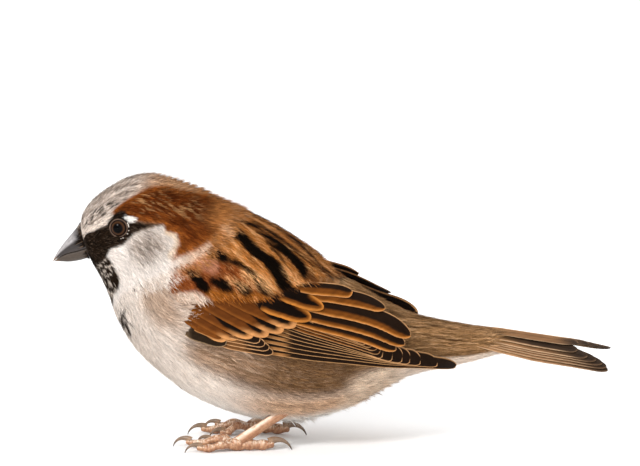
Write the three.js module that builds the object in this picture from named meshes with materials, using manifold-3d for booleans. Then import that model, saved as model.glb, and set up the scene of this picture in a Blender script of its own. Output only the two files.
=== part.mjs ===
// House sparrow, male, standing with its wings folded. Life size, in millimetres.
// The bill points to -X, up is +Z, and the bird's left side is at -Y.
import * as THREE from "three";
import { mergeVertices } from "three/addons/utils/BufferGeometryUtils.js";
import Module from "manifold-3d";

const wasm = await Module();
wasm.setup();

// ---------------------------------------------------------------- driving sizes

const gap = 0.3; // between two touching nodes
const vaneThick = 0.5; // of a flight feather's vane
const rootSink = 1; // how far the wing feathers' roots go into the arm
const ground = 0.7; // height of the floor in these coordinates
const rightFootShift = [2.9, 2.3, 0]; // how the right foot stands apart from the left foot's mirror image

// The plumage's outline, from the bill's base to the tail coverts. Each station is a plane across
// the bird through top and bottom [x, z]. half is its half width, and waist is how far up from
// bottom to top it is widest.
const stations = [
  { top: [-69.4, 62.2], bottom: [-66.5, 52.4], half: 4.1, waist: 0.45 },
  { top: [-68.5, 65.4], bottom: [-65.6, 50.6], half: 5.9, waist: 0.45 },
  { top: [-65.9, 68.9], bottom: [-64.1, 47.9], half: 7.6, waist: 0.47 },
  { top: [-61.8, 72.2], bottom: [-62.5, 44.6], half: 9.2, waist: 0.5 },
  { top: [-56.6, 75.1], bottom: [-61.2, 41.2], half: 10.7, waist: 0.53 },
  { top: [-50.8, 76.3], bottom: [-60.0, 37.4], half: 12.0, waist: 0.54 },
  { top: [-44.5, 75.0], bottom: [-58.6, 34.0], half: 13.4, waist: 0.52 },
  { top: [-37.6, 72.7], bottom: [-56.3, 30.1], half: 15.4, waist: 0.48 },
  { top: [-30.5, 69.3], bottom: [-52.7, 25.4], half: 17.9, waist: 0.46 },
  { top: [-22.6, 65.4], bottom: [-46.8, 20.2], half: 20.0, waist: 0.46 },
  { top: [-14.0, 60.9], bottom: [-39.0, 14.5], half: 21.2, waist: 0.48 },
  { top: [-5.6, 55.2], bottom: [-29.0, 10.2], half: 21.0, waist: 0.5 },
  { top: [2.0, 49.6], bottom: [-17.5, 7.7], half: 19.3, waist: 0.52 },
  { top: [9.0, 44.8], bottom: [-6.0, 8.3], half: 16.6, waist: 0.54 },
  { top: [15.4, 41.1], bottom: [4.6, 11.7], half: 13.4, waist: 0.56 },
  { top: [21.2, 38.4], bottom: [14.3, 17.1], half: 10.6, waist: 0.58 },
  { top: [27.0, 37.0], bottom: [22.7, 21.1], half: 8.4, waist: 0.58 },
  { top: [34.5, 35.6], bottom: [32.0, 23.2], half: 6.9, waist: 0.56 },
  { top: [44.0, 34.2], bottom: [43.4, 26.2], half: 5.8, waist: 0.55 },
];
const lastStation = stations.length - 1;
const headEnd = 5.6; // the station where the head ends and the neck begins
const neckEnd = 7.2; // the station where the neck ends and the torso begins

// The hollow that each folded wing lies in: how deep, and its borders in stations and angles.
const wingBed = { depth: 1.2, from: [7.3, 8.8], to: [12.5, 15], above: [0.3, 0.7], below: [1.6, 2.1] };

// Swellings and hollows of the head's sides: where, how far along X and Z, and how high.
const headRelief = [
  { at: [-58.0, 63.2], reach: [3.4, 3.2], rise: -0.9 }, // the eye's hollow
  { at: [-57.5, 67.6], reach: [5.0, 1.7], rise: 0.5 }, // the brow
  { at: [-52.0, 57.5], reach: [6.0, 4.6], rise: 0.9 }, // the ear coverts
  { at: [-64.2, 60.6], reach: [3.2, 2.4], rise: -0.6 }, // the lores
  { at: [-63.0, 54.0], reach: [3.4, 1.8], rise: 0.35 }, // the cheek below the gape
];

const eye = { x: -58.0, z: 63.3, ball: 3.0, opening: 2.3, lid: 0.5, forward: 0.22, upward: 0.1 };

const bill = {
  culmen: [[-69.7, 61.7], [-71.9, 58.9], [-74.3, 55.9], [-76.2, 53.0], [-77.0, 51.1]],
  mouth: [[-67.6, 55.7], [-70.2, 54.7], [-72.9, 53.8], [-75.2, 52.5], [-76.7, 51.2]],
  gonys: [[-66.8, 52.6], [-69.4, 51.7], [-72.2, 51.2], [-74.6, 51.2], [-76.2, 51.3]],
  half: 3.9, // half width at its base
  nostril: { x: -69.9, z: 58.8, radius: 0.55 },
};

// Wing feathers, as [x, z] on the wing's outer surface. tips is the curve that their tips lie on,
// from the outermost feather to the innermost.
const wingTiers = [
  {
    name: "primaries", count: 6, width: [4.4, 4.6], lift: 0.1, tilt: 0.45, thick: vaneThick,
    tips: [[35.3, 27.3], [30.0, 28.0], [25.0, 28.8], [21.4, 29.6], [17.4, 30.6]],
    roots: [[-20, 31.4], [-12, 35.0]],
  },
  {
    name: "secondaries", count: 5, width: [4.8, 5.0], lift: 0.4, tilt: 0.4, thick: 0.8,
    tips: [[15.4, 31.2], [13.8, 33.0], [12.2, 35.0]],
    roots: [[-14, 36.0], [-8, 40.0]],
  },
  {
    name: "tertials", count: 4, width: [5.6, 6.6], lift: 0.75, tilt: 0.35, thick: 1.1,
    tips: [[20.4, 32.4], [22.4, 35.2], [15.6, 41.8], [7.4, 47.0]],
    roots: [[-9, 41.0], [-9, 49.0]],
  },
  {
    name: "primaryCoverts", count: 3, width: [3.6, 3.6], lift: 0.5, tilt: 0.4, thick: 0.9,
    tips: [[-15.4, 30.6], [-18.2, 34.6]],
    roots: [[-30, 33.8], [-29, 37.0]],
  },
  {
    name: "alula", count: 2, width: [3.6, 3.8], lift: 0.8, tilt: 0.3, thick: 1.1,
    tips: [[-27.6, 32.8], [-30.0, 35.4]],
    roots: [[-40.5, 37.4], [-40, 39.4]],
  },
  {
    name: "greaterCoverts", count: 7, width: [4.8, 6.6], lift: 0.85, tilt: 0.4, thick: 1.2,
    tips: [[-26.6, 34.6], [-19.5, 35.4], [-12.5, 37.2], [-7.2, 39.0], [-3.2, 41.6], [-0.8, 45.0]],
    roots: [[-39.5, 40.6], [-33.0, 42.4], [-26.0, 44.4], [-20.0, 46.4], [-16.5, 48.4], [-14.5, 51.0]],
  },
  {
    name: "medianCoverts", count: 5, width: [5.4, 6.0], lift: 1.25, tilt: 0.35, thick: 1.5,
    tips: [[-38.6, 42.6], [-32.0, 43.0], [-25.0, 45.2], [-18.5, 48.0]],
    roots: [[-43.0, 48.0], [-36.0, 50.6], [-29.0, 53.0], [-24.0, 54.5]],
  },
  {
    name: "scapulars", count: 5, width: [6.2, 7.0], lift: 1.45, tilt: 0.35, thick: 1.7,
    tips: [[-26.0, 48.4], [-19.0, 46.6], [-11.5, 45.8], [-3.5, 47.6]],
    roots: [[-34.0, 57.6], [-28.0, 57.4], [-21.0, 55.2], [-15.0, 55.0]],
  },
];
const wingArm = {
  upper: [[-37, 58], [-28, 58.5], [-18, 55.5], [-7, 50]],
  lower: [[-43.2, 40.6], [-34, 35.2], [-22, 32.8], [-8, 32.4]],
  rise: 1.1,
  sink: 1.5, // how far its underside goes in, to be cut back to the body's own form
};
const wingFlare = { from: [10.5, 15.5], widen: 5.5, rise: 4.5 }; // of the wings' form over the rump
const wingGap = gap + 0.5; // the body that the wings are cut by is coarser, and this much larger
const vaneShape = [[0, 0.6], [0.3, 0.9], [0.65, 1], [0.88, 0.8], [1, 0.34]]; // [along, share of width]

const tail = {
  pairs: 6,
  start: 42, // x where the vanes leave the tail coverts
  tip: [71.5, 76.5], // x of the tips of the central and the outer pair
  rootY: [1.0, 4.6],
  tipY: [2.0, 8.6],
  width: 6.4,
  ridge: [34.3, 32.9, 29.9], // z of the tail's middle at its start, halfway and at its tip
  droop: [4.2, 2.7], // how far its edges hang below its middle, at its start and its tip
  half: [7.8, 11.8],
  step: 0.4, // each pair lies this much under its inner neighbour
  overlap: 0.15, // how far the left half lies over the right one
};

const leg = {
  ankle: [-8.4, -9.8, 14.9],
  hub: [-25.6, -9.3, 2.9],
  radius: 1.4, // from front to back
  flatten: 0.74, // its width as a share of that
  scutes: 7,
  scuteRise: 0.14,
  hubRadius: 1.9,
};
// Toes of the left foot. joints run along a toe's axis from the hub, above the floor.
const toes = [
  { name: "hind", joints: [[0.6, 0.1, 1.6], [3.6, 0.5, 1.7], [7, 1, 1.5], [10.2, 1.4, 1.8]], radius: 1.5, claw: 6.2 },
  { name: "middle", joints: [[-1.2, 0.2, 1.6], [-5.4, 1, 2.9], [-10, 2, 1.3], [-14.2, 2.8, 1.7]], radius: 1.2, claw: 5 },
  { name: "inner", joints: [[-0.8, 1, 1.6], [-4.0, 3.3, 2.8], [-6.6, 4.8, 1.3], [-8.8, 5.8, 1.5]], radius: 1.1, claw: 4.4 },
  { name: "outer", joints: [[-0.8, -0.6, 1.5], [-4, -1.8, 1.9], [-7.4, -2.8, 1.2], [-10.8, -3.4, 1.5]], radius: 1.1, claw: 4.6 },
];

// ---------------------------------------------------------------- curves and solids

const mix = (a, b, t) => a + (b - a) * t;
const mixPoint = (a, b, t) => a.map((v, i) => mix(v, b[i], t));
const clamp = THREE.MathUtils.clamp;
const smooth = THREE.MathUtils.smoothstep;

// A Catmull-Rom value at place t, from 0 to the last index of values.
function along(values, t) {
  const last = values.length - 1;
  const i = clamp(Math.floor(t), 0, last - 1);
  const at = (k) => values[clamp(k, 0, last)];
  const [a, b, c, d] = [at(i - 1), at(i), at(i + 1), at(i + 2)];
  const f = t - i;
  return 0.5 * (2 * b + (c - a) * f + (2 * a - 5 * b + 4 * c - d) * f * f + (3 * b - a - 3 * c + d) * f ** 3);
}

const alongPoints = (points, t) =>
  points[0].map((_, k) => along(points.map((p) => p[k]), t * (points.length - 1)));

function solidOf(geometry) {
  geometry.deleteAttribute("normal");
  geometry.deleteAttribute("uv");
  const merged = mergeVertices(geometry, 1e-4);
  const vertProperties = new Float32Array(merged.attributes.position.array);
  const triVerts = new Uint32Array(merged.index.array);
  return new wasm.Manifold(new wasm.Mesh({ numProp: 3, vertProperties, triVerts }));
}

// A closed solid from points and triangles, with its faces turned outwards.
function closed(points, faces) {
  const made = (list) => {
    const g = new THREE.BufferGeometry();
    g.setAttribute("position", new THREE.Float32BufferAttribute(points.flat(), 3));
    g.setIndex(list.flat());
    return solidOf(g);
  };
  const solid = made(faces);
  return solid.volume() > 0 ? solid : made(faces.map(([a, b, c]) => [a, c, b]));
}

// A solid skinned over rings of points, with flat ends. turned says which strips run their
// diagonal the other way, so that a thin vane has the same triangles on both faces.
function loft(rings, turned = () => false) {
  const n = rings[0].length;
  const points = rings.flat();
  const faces = [];
  for (let i = 0; i + 1 < rings.length; i++) {
    for (let k = 0; k < n; k++) {
      const [a, b] = [i * n + k, i * n + ((k + 1) % n)];
      const [c, d] = [a + n, b + n];
      if (turned(k)) faces.push([a, b, c], [b, d, c]);
      else faces.push([a, b, d], [a, d, c]);
    }
  }
  for (const [start, sign] of [[0, -1], [(rings.length - 1) * n, 1]]) {
    for (let k = 1; k + 1 < n; k++) {
      const cap = [start, start + k, start + k + 1];
      faces.push(sign > 0 ? cap : [cap[0], cap[2], cap[1]]);
    }
  }
  return closed(points, faces);
}

// A curved plate: place(u, v, side) gives its points, side 0 underneath and 1 on top.
function plate(place, nu, nv) {
  const points = [];
  const index = (i, j, side) => (i * (nv + 1) + j) * 2 + side;
  for (let i = 0; i <= nu; i++) {
    for (let j = 0; j <= nv; j++) points.push(place(i / nu, j / nv, 0), place(i / nu, j / nv, 1));
  }
  const faces = [];
  for (let i = 0; i < nu; i++) {
    for (let j = 0; j < nv; j++) {
      const corners = (s) => [index(i, j, s), index(i + 1, j, s), index(i + 1, j + 1, s), index(i, j + 1, s)];
      const [a, b, c, d] = corners(1);
      const [e, f, g, h] = corners(0);
      faces.push([a, b, c], [a, c, d], [e, g, f], [e, h, g]);
    }
  }
  const wall = (a, b) => faces.push([a, a - 1, b - 1], [a, b - 1, b]);
  for (let i = 0; i < nu; i++) {
    wall(index(i, 0, 1), index(i + 1, 0, 1));
    wall(index(i + 1, nv, 1), index(i, nv, 1));
  }
  for (let j = 0; j < nv; j++) {
    wall(index(0, j + 1, 1), index(0, j, 1));
    wall(index(nu, j, 1), index(nu, j + 1, 1));
  }
  return closed(points, faces);
}

const largest = (solid) => solid.decompose().sort((a, b) => b.volume() - a.volume())[0];
const union = (solids) => solids.reduce((sum, s) => sum.add(s));
const mirrored = (p) => [p[0], -p[1], p[2]];

// ---------------------------------------------------------------- the plumage's surface

function section(s) {
  const value = (pick) => along(stations.map(pick), s);
  return {
    top: [value((c) => c.top[0]), value((c) => c.top[1])],
    bottom: [value((c) => c.bottom[0]), value((c) => c.bottom[1])],
    half: value((c) => c.half),
    waist: value((c) => c.waist),
  };
}

function relief(x, y, z) {
  const side = smooth(Math.abs(y), 1.5, 6);
  let rise = 0;
  for (const r of headRelief) {
    rise += r.rise * Math.exp(-(((x - r.at[0]) / r.reach[0]) ** 2) - ((z - r.at[1]) / r.reach[1]) ** 2);
  }
  return rise * side;
}

// The form that the folded wings lie on: the body's, flaring over the rump.
function wingSection(s) {
  const body = section(s);
  const flare = smooth(s, ...wingFlare.from);
  return {
    ...body,
    top: [body.top[0], body.top[1] + wingFlare.rise * flare],
    half: body.half + wingFlare.widen * flare,
  };
}

// A point at angle a of a section, out mm outside it: 0 is the back, and PI / 2 the left side.
function pointOn({ top, bottom, half, waist }, a, out = 0) {
  const height = Math.hypot(top[0] - bottom[0], top[1] - bottom[1]);
  const up = [(top[0] - bottom[0]) / height, (top[1] - bottom[1]) / height];
  const middle = mixPoint(bottom, top, waist);
  const reach = ((Math.cos(a) > 0 ? 1 - waist : waist) * height + out) * Math.cos(a);
  return [middle[0] + up[0] * reach, -(half + out) * Math.sin(a), middle[1] + up[1] * reach];
}

function bedDepth(s, a) {
  const { depth, from, to, above, below } = wingBed;
  const turn = Math.abs(Math.atan2(Math.sin(a), Math.cos(a)));
  return depth * smooth(s, ...from) * (1 - smooth(s, ...to)) * smooth(turn, ...above) * (1 - smooth(turn, ...below));
}

// A point of the plumage at station s and angle a.
function plumage(s, a, grow = 0) {
  const form = section(s);
  const bump = s < neckEnd ? relief(...pointOn(form, a)) : -bedDepth(s, a);
  return pointOn(form, a, grow + bump);
}

function plumageSolid(grow, sides, step) {
  const rings = Math.round(lastStation / step);
  return loft(Array.from({ length: rings + 1 }, (_, i) => Array.from({ length: sides }, (_, k) =>
    plumage((lastStation * i) / rings, (2 * Math.PI * k) / sides, grow))));
}

// A thin cut through the plumage at station s.
function sliceAt(s) {
  const { top, bottom } = section(s);
  const slab = new THREE.BoxGeometry(gap, 80, 120);
  slab.rotateY(Math.atan2(top[0] - bottom[0], top[1] - bottom[1]));
  slab.translate((top[0] + bottom[0]) / 2, 0, (top[1] + bottom[1]) / 2);
  return solidOf(slab);
}

// ---------------------------------------------------------------- wings

// The folded wing's inner surface, and its normal.
function wingSkin(s, a, lift) {
  const point = (u, v) => pointOn(wingSection(u), v, wingGap - bedDepth(u, v));
  const e = 0.01;
  const p = new THREE.Vector3(...point(s, a));
  const du = new THREE.Vector3(...point(s + e, a)).sub(p).divideScalar(e);
  const dv = new THREE.Vector3(...point(s, a + e)).sub(p).divideScalar(e);
  const normal = dv.clone().cross(du).normalize();
  if (normal.dot(new THREE.Vector3(0, -Math.sin(a), Math.cos(a))) < 0) normal.negate();
  return { point: p.addScaledVector(normal, lift), normal };
}

// The station and angle where the wing's surface is seen at [x, z] from the left.
function onWing([x, z]) {
  const offLine = (s) => {
    const { top, bottom } = wingSection(s);
    return (top[0] - bottom[0]) * (z - bottom[1]) - (top[1] - bottom[1]) * (x - bottom[0]);
  };
  let [low, high] = [6, lastStation];
  for (let i = 0; i < 30; i++) {
    const mid = (low + high) / 2;
    if (offLine(mid) < 0) low = mid;
    else high = mid;
  }
  const { top, bottom, waist } = wingSection(low);
  const share = (z - bottom[1]) / (top[1] - bottom[1]);
  const across = (share - waist) / (share > waist ? 1 - waist : waist);
  return [low, Math.acos(clamp(across, -0.97, 0.97))];
}

// One vane. place(t, v, lift) gives a point t along it and v mm to its inner side. Its outer edge
// is raised by tilt, it is thick deep, and its root goes in by sink.
function vane(place, width, lift, tilt, thick, sink = 0) {
  const rings = vaneShape.map(([t, share]) => {
    const half = (width / 2) * share;
    const low = lift - sink * (1 - smooth(t, 0, 0.35));
    return [
      place(t, -half, low + tilt),
      place(t, half, low),
      place(t, half, low + thick),
      place(t, -half, low + tilt + thick),
    ];
  });
  return loft(rings, (k) => k === 2);
}

function wingVane(tier, i) {
  const t = tier.count > 1 ? i / (tier.count - 1) : 0;
  const root = alongPoints(tier.roots, t);
  const tip = alongPoints(tier.tips, t);
  const place = (u, v, lift) => {
    const { point, normal } = wingSkin(...onWing(mixPoint(root, tip, u)), 0);
    const ahead = wingSkin(...onWing(mixPoint(root, tip, u + 0.05)), 0).point;
    const across = normal.clone().cross(ahead.sub(point)).normalize();
    return point.addScaledVector(across, v).addScaledVector(normal, lift - v * v / 40).toArray();
  };
  const low = tier.lift + vaneThick - tier.thick;
  return vane(place, mix(...tier.width, t), low, tier.tilt, tier.thick, rootSink);
}

function wingSolid() {
  const arm = plate((u, v, side) => {
    const upper = onWing(alongPoints(wingArm.upper, u));
    const lower = onWing(alongPoints(wingArm.lower, u));
    const bulge = Math.sin(Math.PI * u) ** 0.5 * Math.sin(Math.PI * v) ** 0.5;
    return wingSkin(...mixPoint(lower, upper, v), side ? vaneThick + wingArm.rise * bulge : -wingArm.sink)
      .point.toArray();
  }, 6, 5);
  const vanes = wingTiers.flatMap((tier) => Array.from({ length: tier.count }, (_, i) => wingVane(tier, i)));
  return union([arm, ...vanes]);
}

// ---------------------------------------------------------------- tail

function tailSolid() {
  const vanes = [];
  for (let i = tail.pairs - 1; i >= 0; i--) {
    const share = i / (tail.pairs - 1);
    const [root, tip] = [mix(...tail.rootY, share), mix(...tail.tipY, share)];
    const end = mix(...tail.tip, share);
    for (const side of [-1, 1]) {
      const place = (t, v, lift) => {
        const x = mix(tail.start, end, t);
        const far = (x - tail.start) / (tail.tip[1] - tail.start);
        const y = mix(root, tip, t) - v;
        const z = along(tail.ridge, 2 * far) - mix(...tail.droop, far) * (y / mix(...tail.half, far)) ** 2;
        return [x, side * y, z + lift - tail.step * i - side * tail.overlap];
      };
      vanes.push(vane(place, tail.width, -vaneThick, 0, vaneThick));
    }
  }
  return union(vanes);
}

// ---------------------------------------------------------------- head: eyes, lids and bill

function eyeFrame(side) {
  const [s, a] = onHead(eye.x, eye.z);
  const surface = plumage(s, a);
  const out = new THREE.Vector3(-eye.forward, -1, eye.upward).normalize();
  const rim = new THREE.Vector3(...surface).addScaledVector(out, 0.25);
  const frame = new THREE.Matrix4().makeTranslation(rim.x, rim.y * -side, rim.z);
  const turn = new THREE.Quaternion().setFromUnitVectors(
    new THREE.Vector3(0, 0, 1), new THREE.Vector3(out.x, out.y * -side, out.z));
  return frame.multiply(new THREE.Matrix4().makeRotationFromQuaternion(turn));
}

// The station and angle of the head's left side at x, z.
function onHead(x, z) {
  let best = [0, 0, Infinity];
  for (let s = 0; s <= neckEnd; s += 0.05) {
    for (let a = 0.2; a < 3; a += 0.02) {
      const p = plumage(s, a);
      const off = (p[0] - x) ** 2 + (p[2] - z) ** 2;
      if (off < best[2]) best = [s, a, off];
    }
  }
  return best;
}

function eyeball(side, radius, sides) {
  const depth = Math.sqrt(eye.ball ** 2 - eye.opening ** 2);
  const ball = new THREE.SphereGeometry(radius, sides, Math.round(sides * 0.6));
  ball.rotateX(Math.PI / 2);
  ball.translate(0, 0, -depth);
  ball.applyMatrix4(eyeFrame(side));
  return solidOf(ball);
}

function lids(side) {
  const ring = new THREE.TorusGeometry(eye.opening + eye.lid * 0.8, eye.lid, 5, 14);
  ring.scale(1, 1, 0.7);
  ring.applyMatrix4(eyeFrame(side));
  return solidOf(ring);
}

// A mandible between the lines ridge and mouth, rounded on its ridge side.
function mandible(ridge, mouth, half, shift) {
  const steps = 7;
  const rings = [];
  for (let i = 0; i <= steps; i++) {
    const t = i / steps;
    const peak = alongPoints(ridge, t);
    const edge = alongPoints(mouth, t);
    edge[1] += shift;
    const wide = Math.max(half * (1 - t) ** 0.9, 0.22);
    const ring = [];
    for (let k = 0; k <= 8; k++) {
      const a = (Math.PI * k) / 8 - Math.PI / 2;
      const rise = Math.cos(a) ** 0.85;
      ring.push([mix(edge[0], peak[0], rise), wide * Math.sin(a), mix(edge[1], peak[1], rise)]);
    }
    ring.push([edge[0], 0, edge[1]]);
    rings.push(ring);
  }
  return loft(rings);
}

function nostrils(solid) {
  const { x, z, radius } = bill.nostril;
  for (const side of [-1, 1]) {
    const pit = new THREE.SphereGeometry(radius, 8, 6);
    pit.scale(1.5, 1, 0.8);
    pit.rotateY(0.7);
    pit.translate(x, side * 2.55, z);
    solid = solid.subtract(solidOf(pit));
  }
  return solid;
}

// ---------------------------------------------------------------- legs

// Points of a ring of given radius round a centre, across a direction.
function ringAt(centre, direction, radius, sides, flatten = 1) {
  const d = new THREE.Vector3(...direction).normalize();
  const wide = new THREE.Vector3(0, 0, 1).cross(d).normalize();
  const high = d.clone().cross(wide);
  return Array.from({ length: sides }, (_, k) => {
    const a = (2 * Math.PI * (k + 0.5)) / sides;
    return new THREE.Vector3(...centre)
      .addScaledVector(wide, radius * flatten * Math.cos(a))
      .addScaledVector(high, radius * Math.sin(a)).toArray();
  });
}

function tarsusSolid(grow) {
  const direction = leg.ankle.map((v, i) => leg.hub[i] - v);
  const rings = [];
  const plates = leg.scutes;
  for (let i = 0; i <= plates; i++) {
    const t = i / plates;
    const swell = 1 + 0.22 * (2 * t - 1) ** 2;
    const r = leg.radius * swell + grow;
    const above = mixPoint(leg.ankle, leg.hub, t - 0.02);
    const below = mixPoint(leg.ankle, leg.hub, t + 0.02);
    if (i > 0) rings.push(ringAt(above, direction, r + leg.scuteRise, 8, leg.flatten));
    if (i < plates) rings.push(ringAt(below, direction, r, 8, leg.flatten));
  }
  const shaft = loft(rings);
  const hub = new THREE.SphereGeometry(leg.hubRadius + grow, 8, 6);
  hub.translate(leg.hub[0], leg.hub[1], ground + leg.hubRadius);
  return shaft.add(solidOf(hub));
}

const toeJoints = (toe) => toe.joints.map(([x, y, z]) => [leg.hub[0] + x, leg.hub[1] + y, ground + z]);

// A toe with a swelling at each pad, flat underneath where it stands.
function toeSolid(toe, grow = 0) {
  const joints = toeJoints(toe);
  const rings = [];
  const steps = (joints.length - 1) * 2;
  for (let i = 0; i <= steps; i++) {
    const t = i / steps;
    const here = alongPoints(joints, t);
    const ahead = alongPoints(joints, Math.min(t + 0.02, 1));
    const back = alongPoints(joints, Math.max(t - 0.02, 0));
    const pad = 1 + 0.1 * Math.cos(Math.PI * i);
    const r = toe.radius * pad * mix(1.08, 0.85, t) + grow;
    const ring = ringAt(here, ahead.map((v, k) => v - back[k]), r, 8);
    rings.push(ring.map(([x, y, z]) => [x, y, Math.max(z, ground - grow)]));
  }
  return loft(rings);
}

// A claw that rises a little from the toe's end and then hooks down to the floor.
function clawSolid(toe) {
  const [from, end] = toeJoints(toe).slice(-2);
  const heading = new THREE.Vector3(end[0] - from[0], end[1] - from[1], 0).normalize();
  const [first, last] = [-0.55, 1.35]; // its slope at the root and at the tip, in radians
  const size = toe.claw / (Math.sin(last) - Math.sin(first));
  const height = end[2] + toe.radius * 0.35;
  const steps = 6;
  const rings = [];
  for (let i = 0; i <= steps; i++) {
    const t = i / steps;
    const slope = mix(first, last, t);
    const reach = gap + size * (Math.sin(slope) - Math.sin(first));
    const z = height + size * (Math.cos(slope) - Math.cos(first));
    const centre = [end[0] + heading.x * reach, end[1] + heading.y * reach, Math.max(z, ground + 0.15)];
    const facing = [heading.x * Math.cos(slope), heading.y * Math.cos(slope), -Math.sin(slope)];
    rings.push(ringAt(centre, facing, mix(toe.radius * 0.6, 0.15, t), 6, 0.8)
      .map(([x, y, h]) => [x, y, Math.max(h, ground)]));
  }
  return loft(rings);
}

// ---------------------------------------------------------------- the bird

const colours = {
  crown: { color: 0x9a9088, roughness: 0.9 },
  breast: { color: 0xcfc5ba, roughness: 0.9 },
  mantle: { color: 0x9c6238, roughness: 0.9 },
  flight: { color: 0x5a3c22, roughness: 0.75 },
  horn: { color: 0x3b3a3c, roughness: 0.4 },
  iris: { color: 0x20140c, roughness: 0.1 },
  scale: { color: 0xb98a66, roughness: 0.55 },
  claw: { color: 0x5e4b3c, roughness: 0.4 },
};

const bird = new THREE.Group();

function addNode(name, solid, look, mirror = false, shift = [0, 0, 0]) {
  const mesh = largest(solid).getMesh();
  const n = mesh.numProp;
  const position = new Float32Array(mesh.numVert * 3);
  for (let i = 0; i < mesh.numVert; i++) {
    const p = [0, 1, 2].map((k) => mesh.vertProperties[i * n + k]);
    position.set((mirror ? mirrored(p) : p).map((v, k) => v + shift[k]), i * 3);
  }
  const order = mirror ? [0, 2, 1] : [0, 1, 2];
  const index = [];
  for (let i = 0; i < mesh.triVerts.length; i += 3) index.push(...order.map((k) => mesh.triVerts[i + k]));
  const geometry = new THREE.BufferGeometry();
  geometry.setAttribute("position", new THREE.BufferAttribute(position, 3));
  geometry.setIndex(index);
  const node = new THREE.Mesh(geometry, new THREE.MeshStandardMaterial(colours[look]));
  node.name = name;
  bird.add(node);
}

let body = plumageSolid(0, 28, 0.47);
const socket = eye.ball + gap + 0.12; // its flat facets stay clear of the eyeball
for (const side of [-1, 1]) body = body.add(lids(side)).subtract(eyeball(side, socket, 12));
for (const s of [headEnd, neckEnd]) body = body.subtract(sliceAt(s));
const [head, neck, torso] = body.decompose()
  .filter((piece) => piece.volume() > 1)
  .sort((a, b) => a.boundingBox().min[0] - b.boundingBox().min[0]);
const clearance = plumageSolid(gap, 28, 0.47);
const wingClearance = plumageSolid(wingGap, 16, 1.2);

addNode("head", head, "crown");
addNode("neck", neck, "crown");
addNode("torso", torso, "breast");
addNode("eye_left", eyeball(-1, eye.ball, 16), "iris");
addNode("eye_right", eyeball(1, eye.ball, 16), "iris");
addNode("bill_upper", nostrils(mandible(bill.culmen, bill.mouth, bill.half, gap / 2)).subtract(clearance), "horn");
addNode("bill_lower", mandible(bill.gonys, bill.mouth, bill.half * 0.92, -gap / 2).subtract(clearance), "horn");
addNode("tail", tailSolid().subtract(clearance), "flight");

const wing = wingSolid().subtract(wingClearance);
const tarsus = tarsusSolid(0).subtract(clearance);
for (const [side, mirror] of [["left", false], ["right", true]]) {
  const shift = mirror ? rightFootShift : [0, 0, 0];
  addNode(`wing_${side}`, wing, "mantle", mirror);
  addNode(`tarsus_${side}`, tarsus, "scale", mirror, shift);
  let taken = tarsusSolid(gap);
  for (const toe of toes) {
    addNode(`toe_${side}_${toe.name}`, toeSolid(toe).subtract(taken), "scale", mirror, shift);
    addNode(`claw_${side}_${toe.name}`, clawSolid(toe), "claw", mirror, shift);
    taken = taken.add(toeSolid(toe, gap));
  }
}

// The origin is the middle of the bird's box, on the ground that it stands on.
const box = new THREE.Box3().setFromObject(bird);
bird.position.set(-(box.min.x + box.max.x) / 2, -(box.min.y + box.max.y) / 2, -box.min.z);

export default bird;
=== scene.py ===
import math

import bpy
import numpy as np
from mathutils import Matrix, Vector


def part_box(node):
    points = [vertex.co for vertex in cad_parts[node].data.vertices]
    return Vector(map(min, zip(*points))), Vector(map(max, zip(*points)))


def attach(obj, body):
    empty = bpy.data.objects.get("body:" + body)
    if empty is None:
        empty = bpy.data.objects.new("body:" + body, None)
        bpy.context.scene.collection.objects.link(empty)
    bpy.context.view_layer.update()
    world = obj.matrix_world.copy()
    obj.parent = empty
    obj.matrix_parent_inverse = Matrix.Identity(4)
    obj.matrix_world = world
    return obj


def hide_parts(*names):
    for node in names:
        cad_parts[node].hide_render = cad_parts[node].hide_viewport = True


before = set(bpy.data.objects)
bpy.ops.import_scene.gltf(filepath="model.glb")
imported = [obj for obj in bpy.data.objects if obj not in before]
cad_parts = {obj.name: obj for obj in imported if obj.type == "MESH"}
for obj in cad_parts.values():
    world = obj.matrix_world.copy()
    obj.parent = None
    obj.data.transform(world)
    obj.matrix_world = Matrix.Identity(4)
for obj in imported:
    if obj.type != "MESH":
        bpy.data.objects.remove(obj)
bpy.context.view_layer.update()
print("frame loaded")

# The drawing is in millimetres, bill to -X and left side at -Y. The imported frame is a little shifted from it.
drawing = {"torsoEnd": 44.0, "floor": 0.7}
shift = np.array([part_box("torso")[1].x * 1000 - drawing["torsoEnd"], 0.0, -drawing["floor"]])


def toFrame(points):
    return (np.asarray(points, float) + shift) * 0.001


def linear(hexColour):
    srgb = np.array([int(hexColour[i:i + 2], 16) for i in (1, 3, 5)]) / 255
    return np.where(srgb <= 0.04045, srgb / 12.92, ((srgb + 0.055) / 1.055) ** 2.4)


def smooth(x, low, high):
    t = np.clip((np.asarray(x, float) - low) / (high - low), 0, 1)
    return t * t * (3 - 2 * t)


def fade(x, low, high):
    return 1 - smooth(x, low, high)


def mix(a, b, t):
    return a + (b - a) * t


def unit(v):
    return v / np.maximum(np.linalg.norm(v, axis=-1, keepdims=True), 1e-9)


def along(values, t):
    # Catmull-Rom through rows of values, at places t from 0 to the last row
    values = np.asarray(values, float)
    last = len(values) - 1
    t = np.asarray(t, float)
    i = np.clip(np.floor(t).astype(int), 0, last - 1)
    f = t - i
    if values.ndim > 1:
        f = f[..., None]
    a, b, c, d = (values[np.clip(i + k, 0, last)] for k in (-1, 0, 1, 2))
    return 0.5 * (2 * b + (c - a) * f + (2 * a - 5 * b + 4 * c - d) * f ** 2 + (3 * b - a - 3 * c + d) * f ** 3)


fullTurn = 6.2832


def circle(steps, offset=0):
    return (np.arange(steps) + offset) / steps * 2 * np.pi


def alongAll(points, t):
    return along(points, np.asarray(t, float) * (len(points) - 1))


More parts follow.
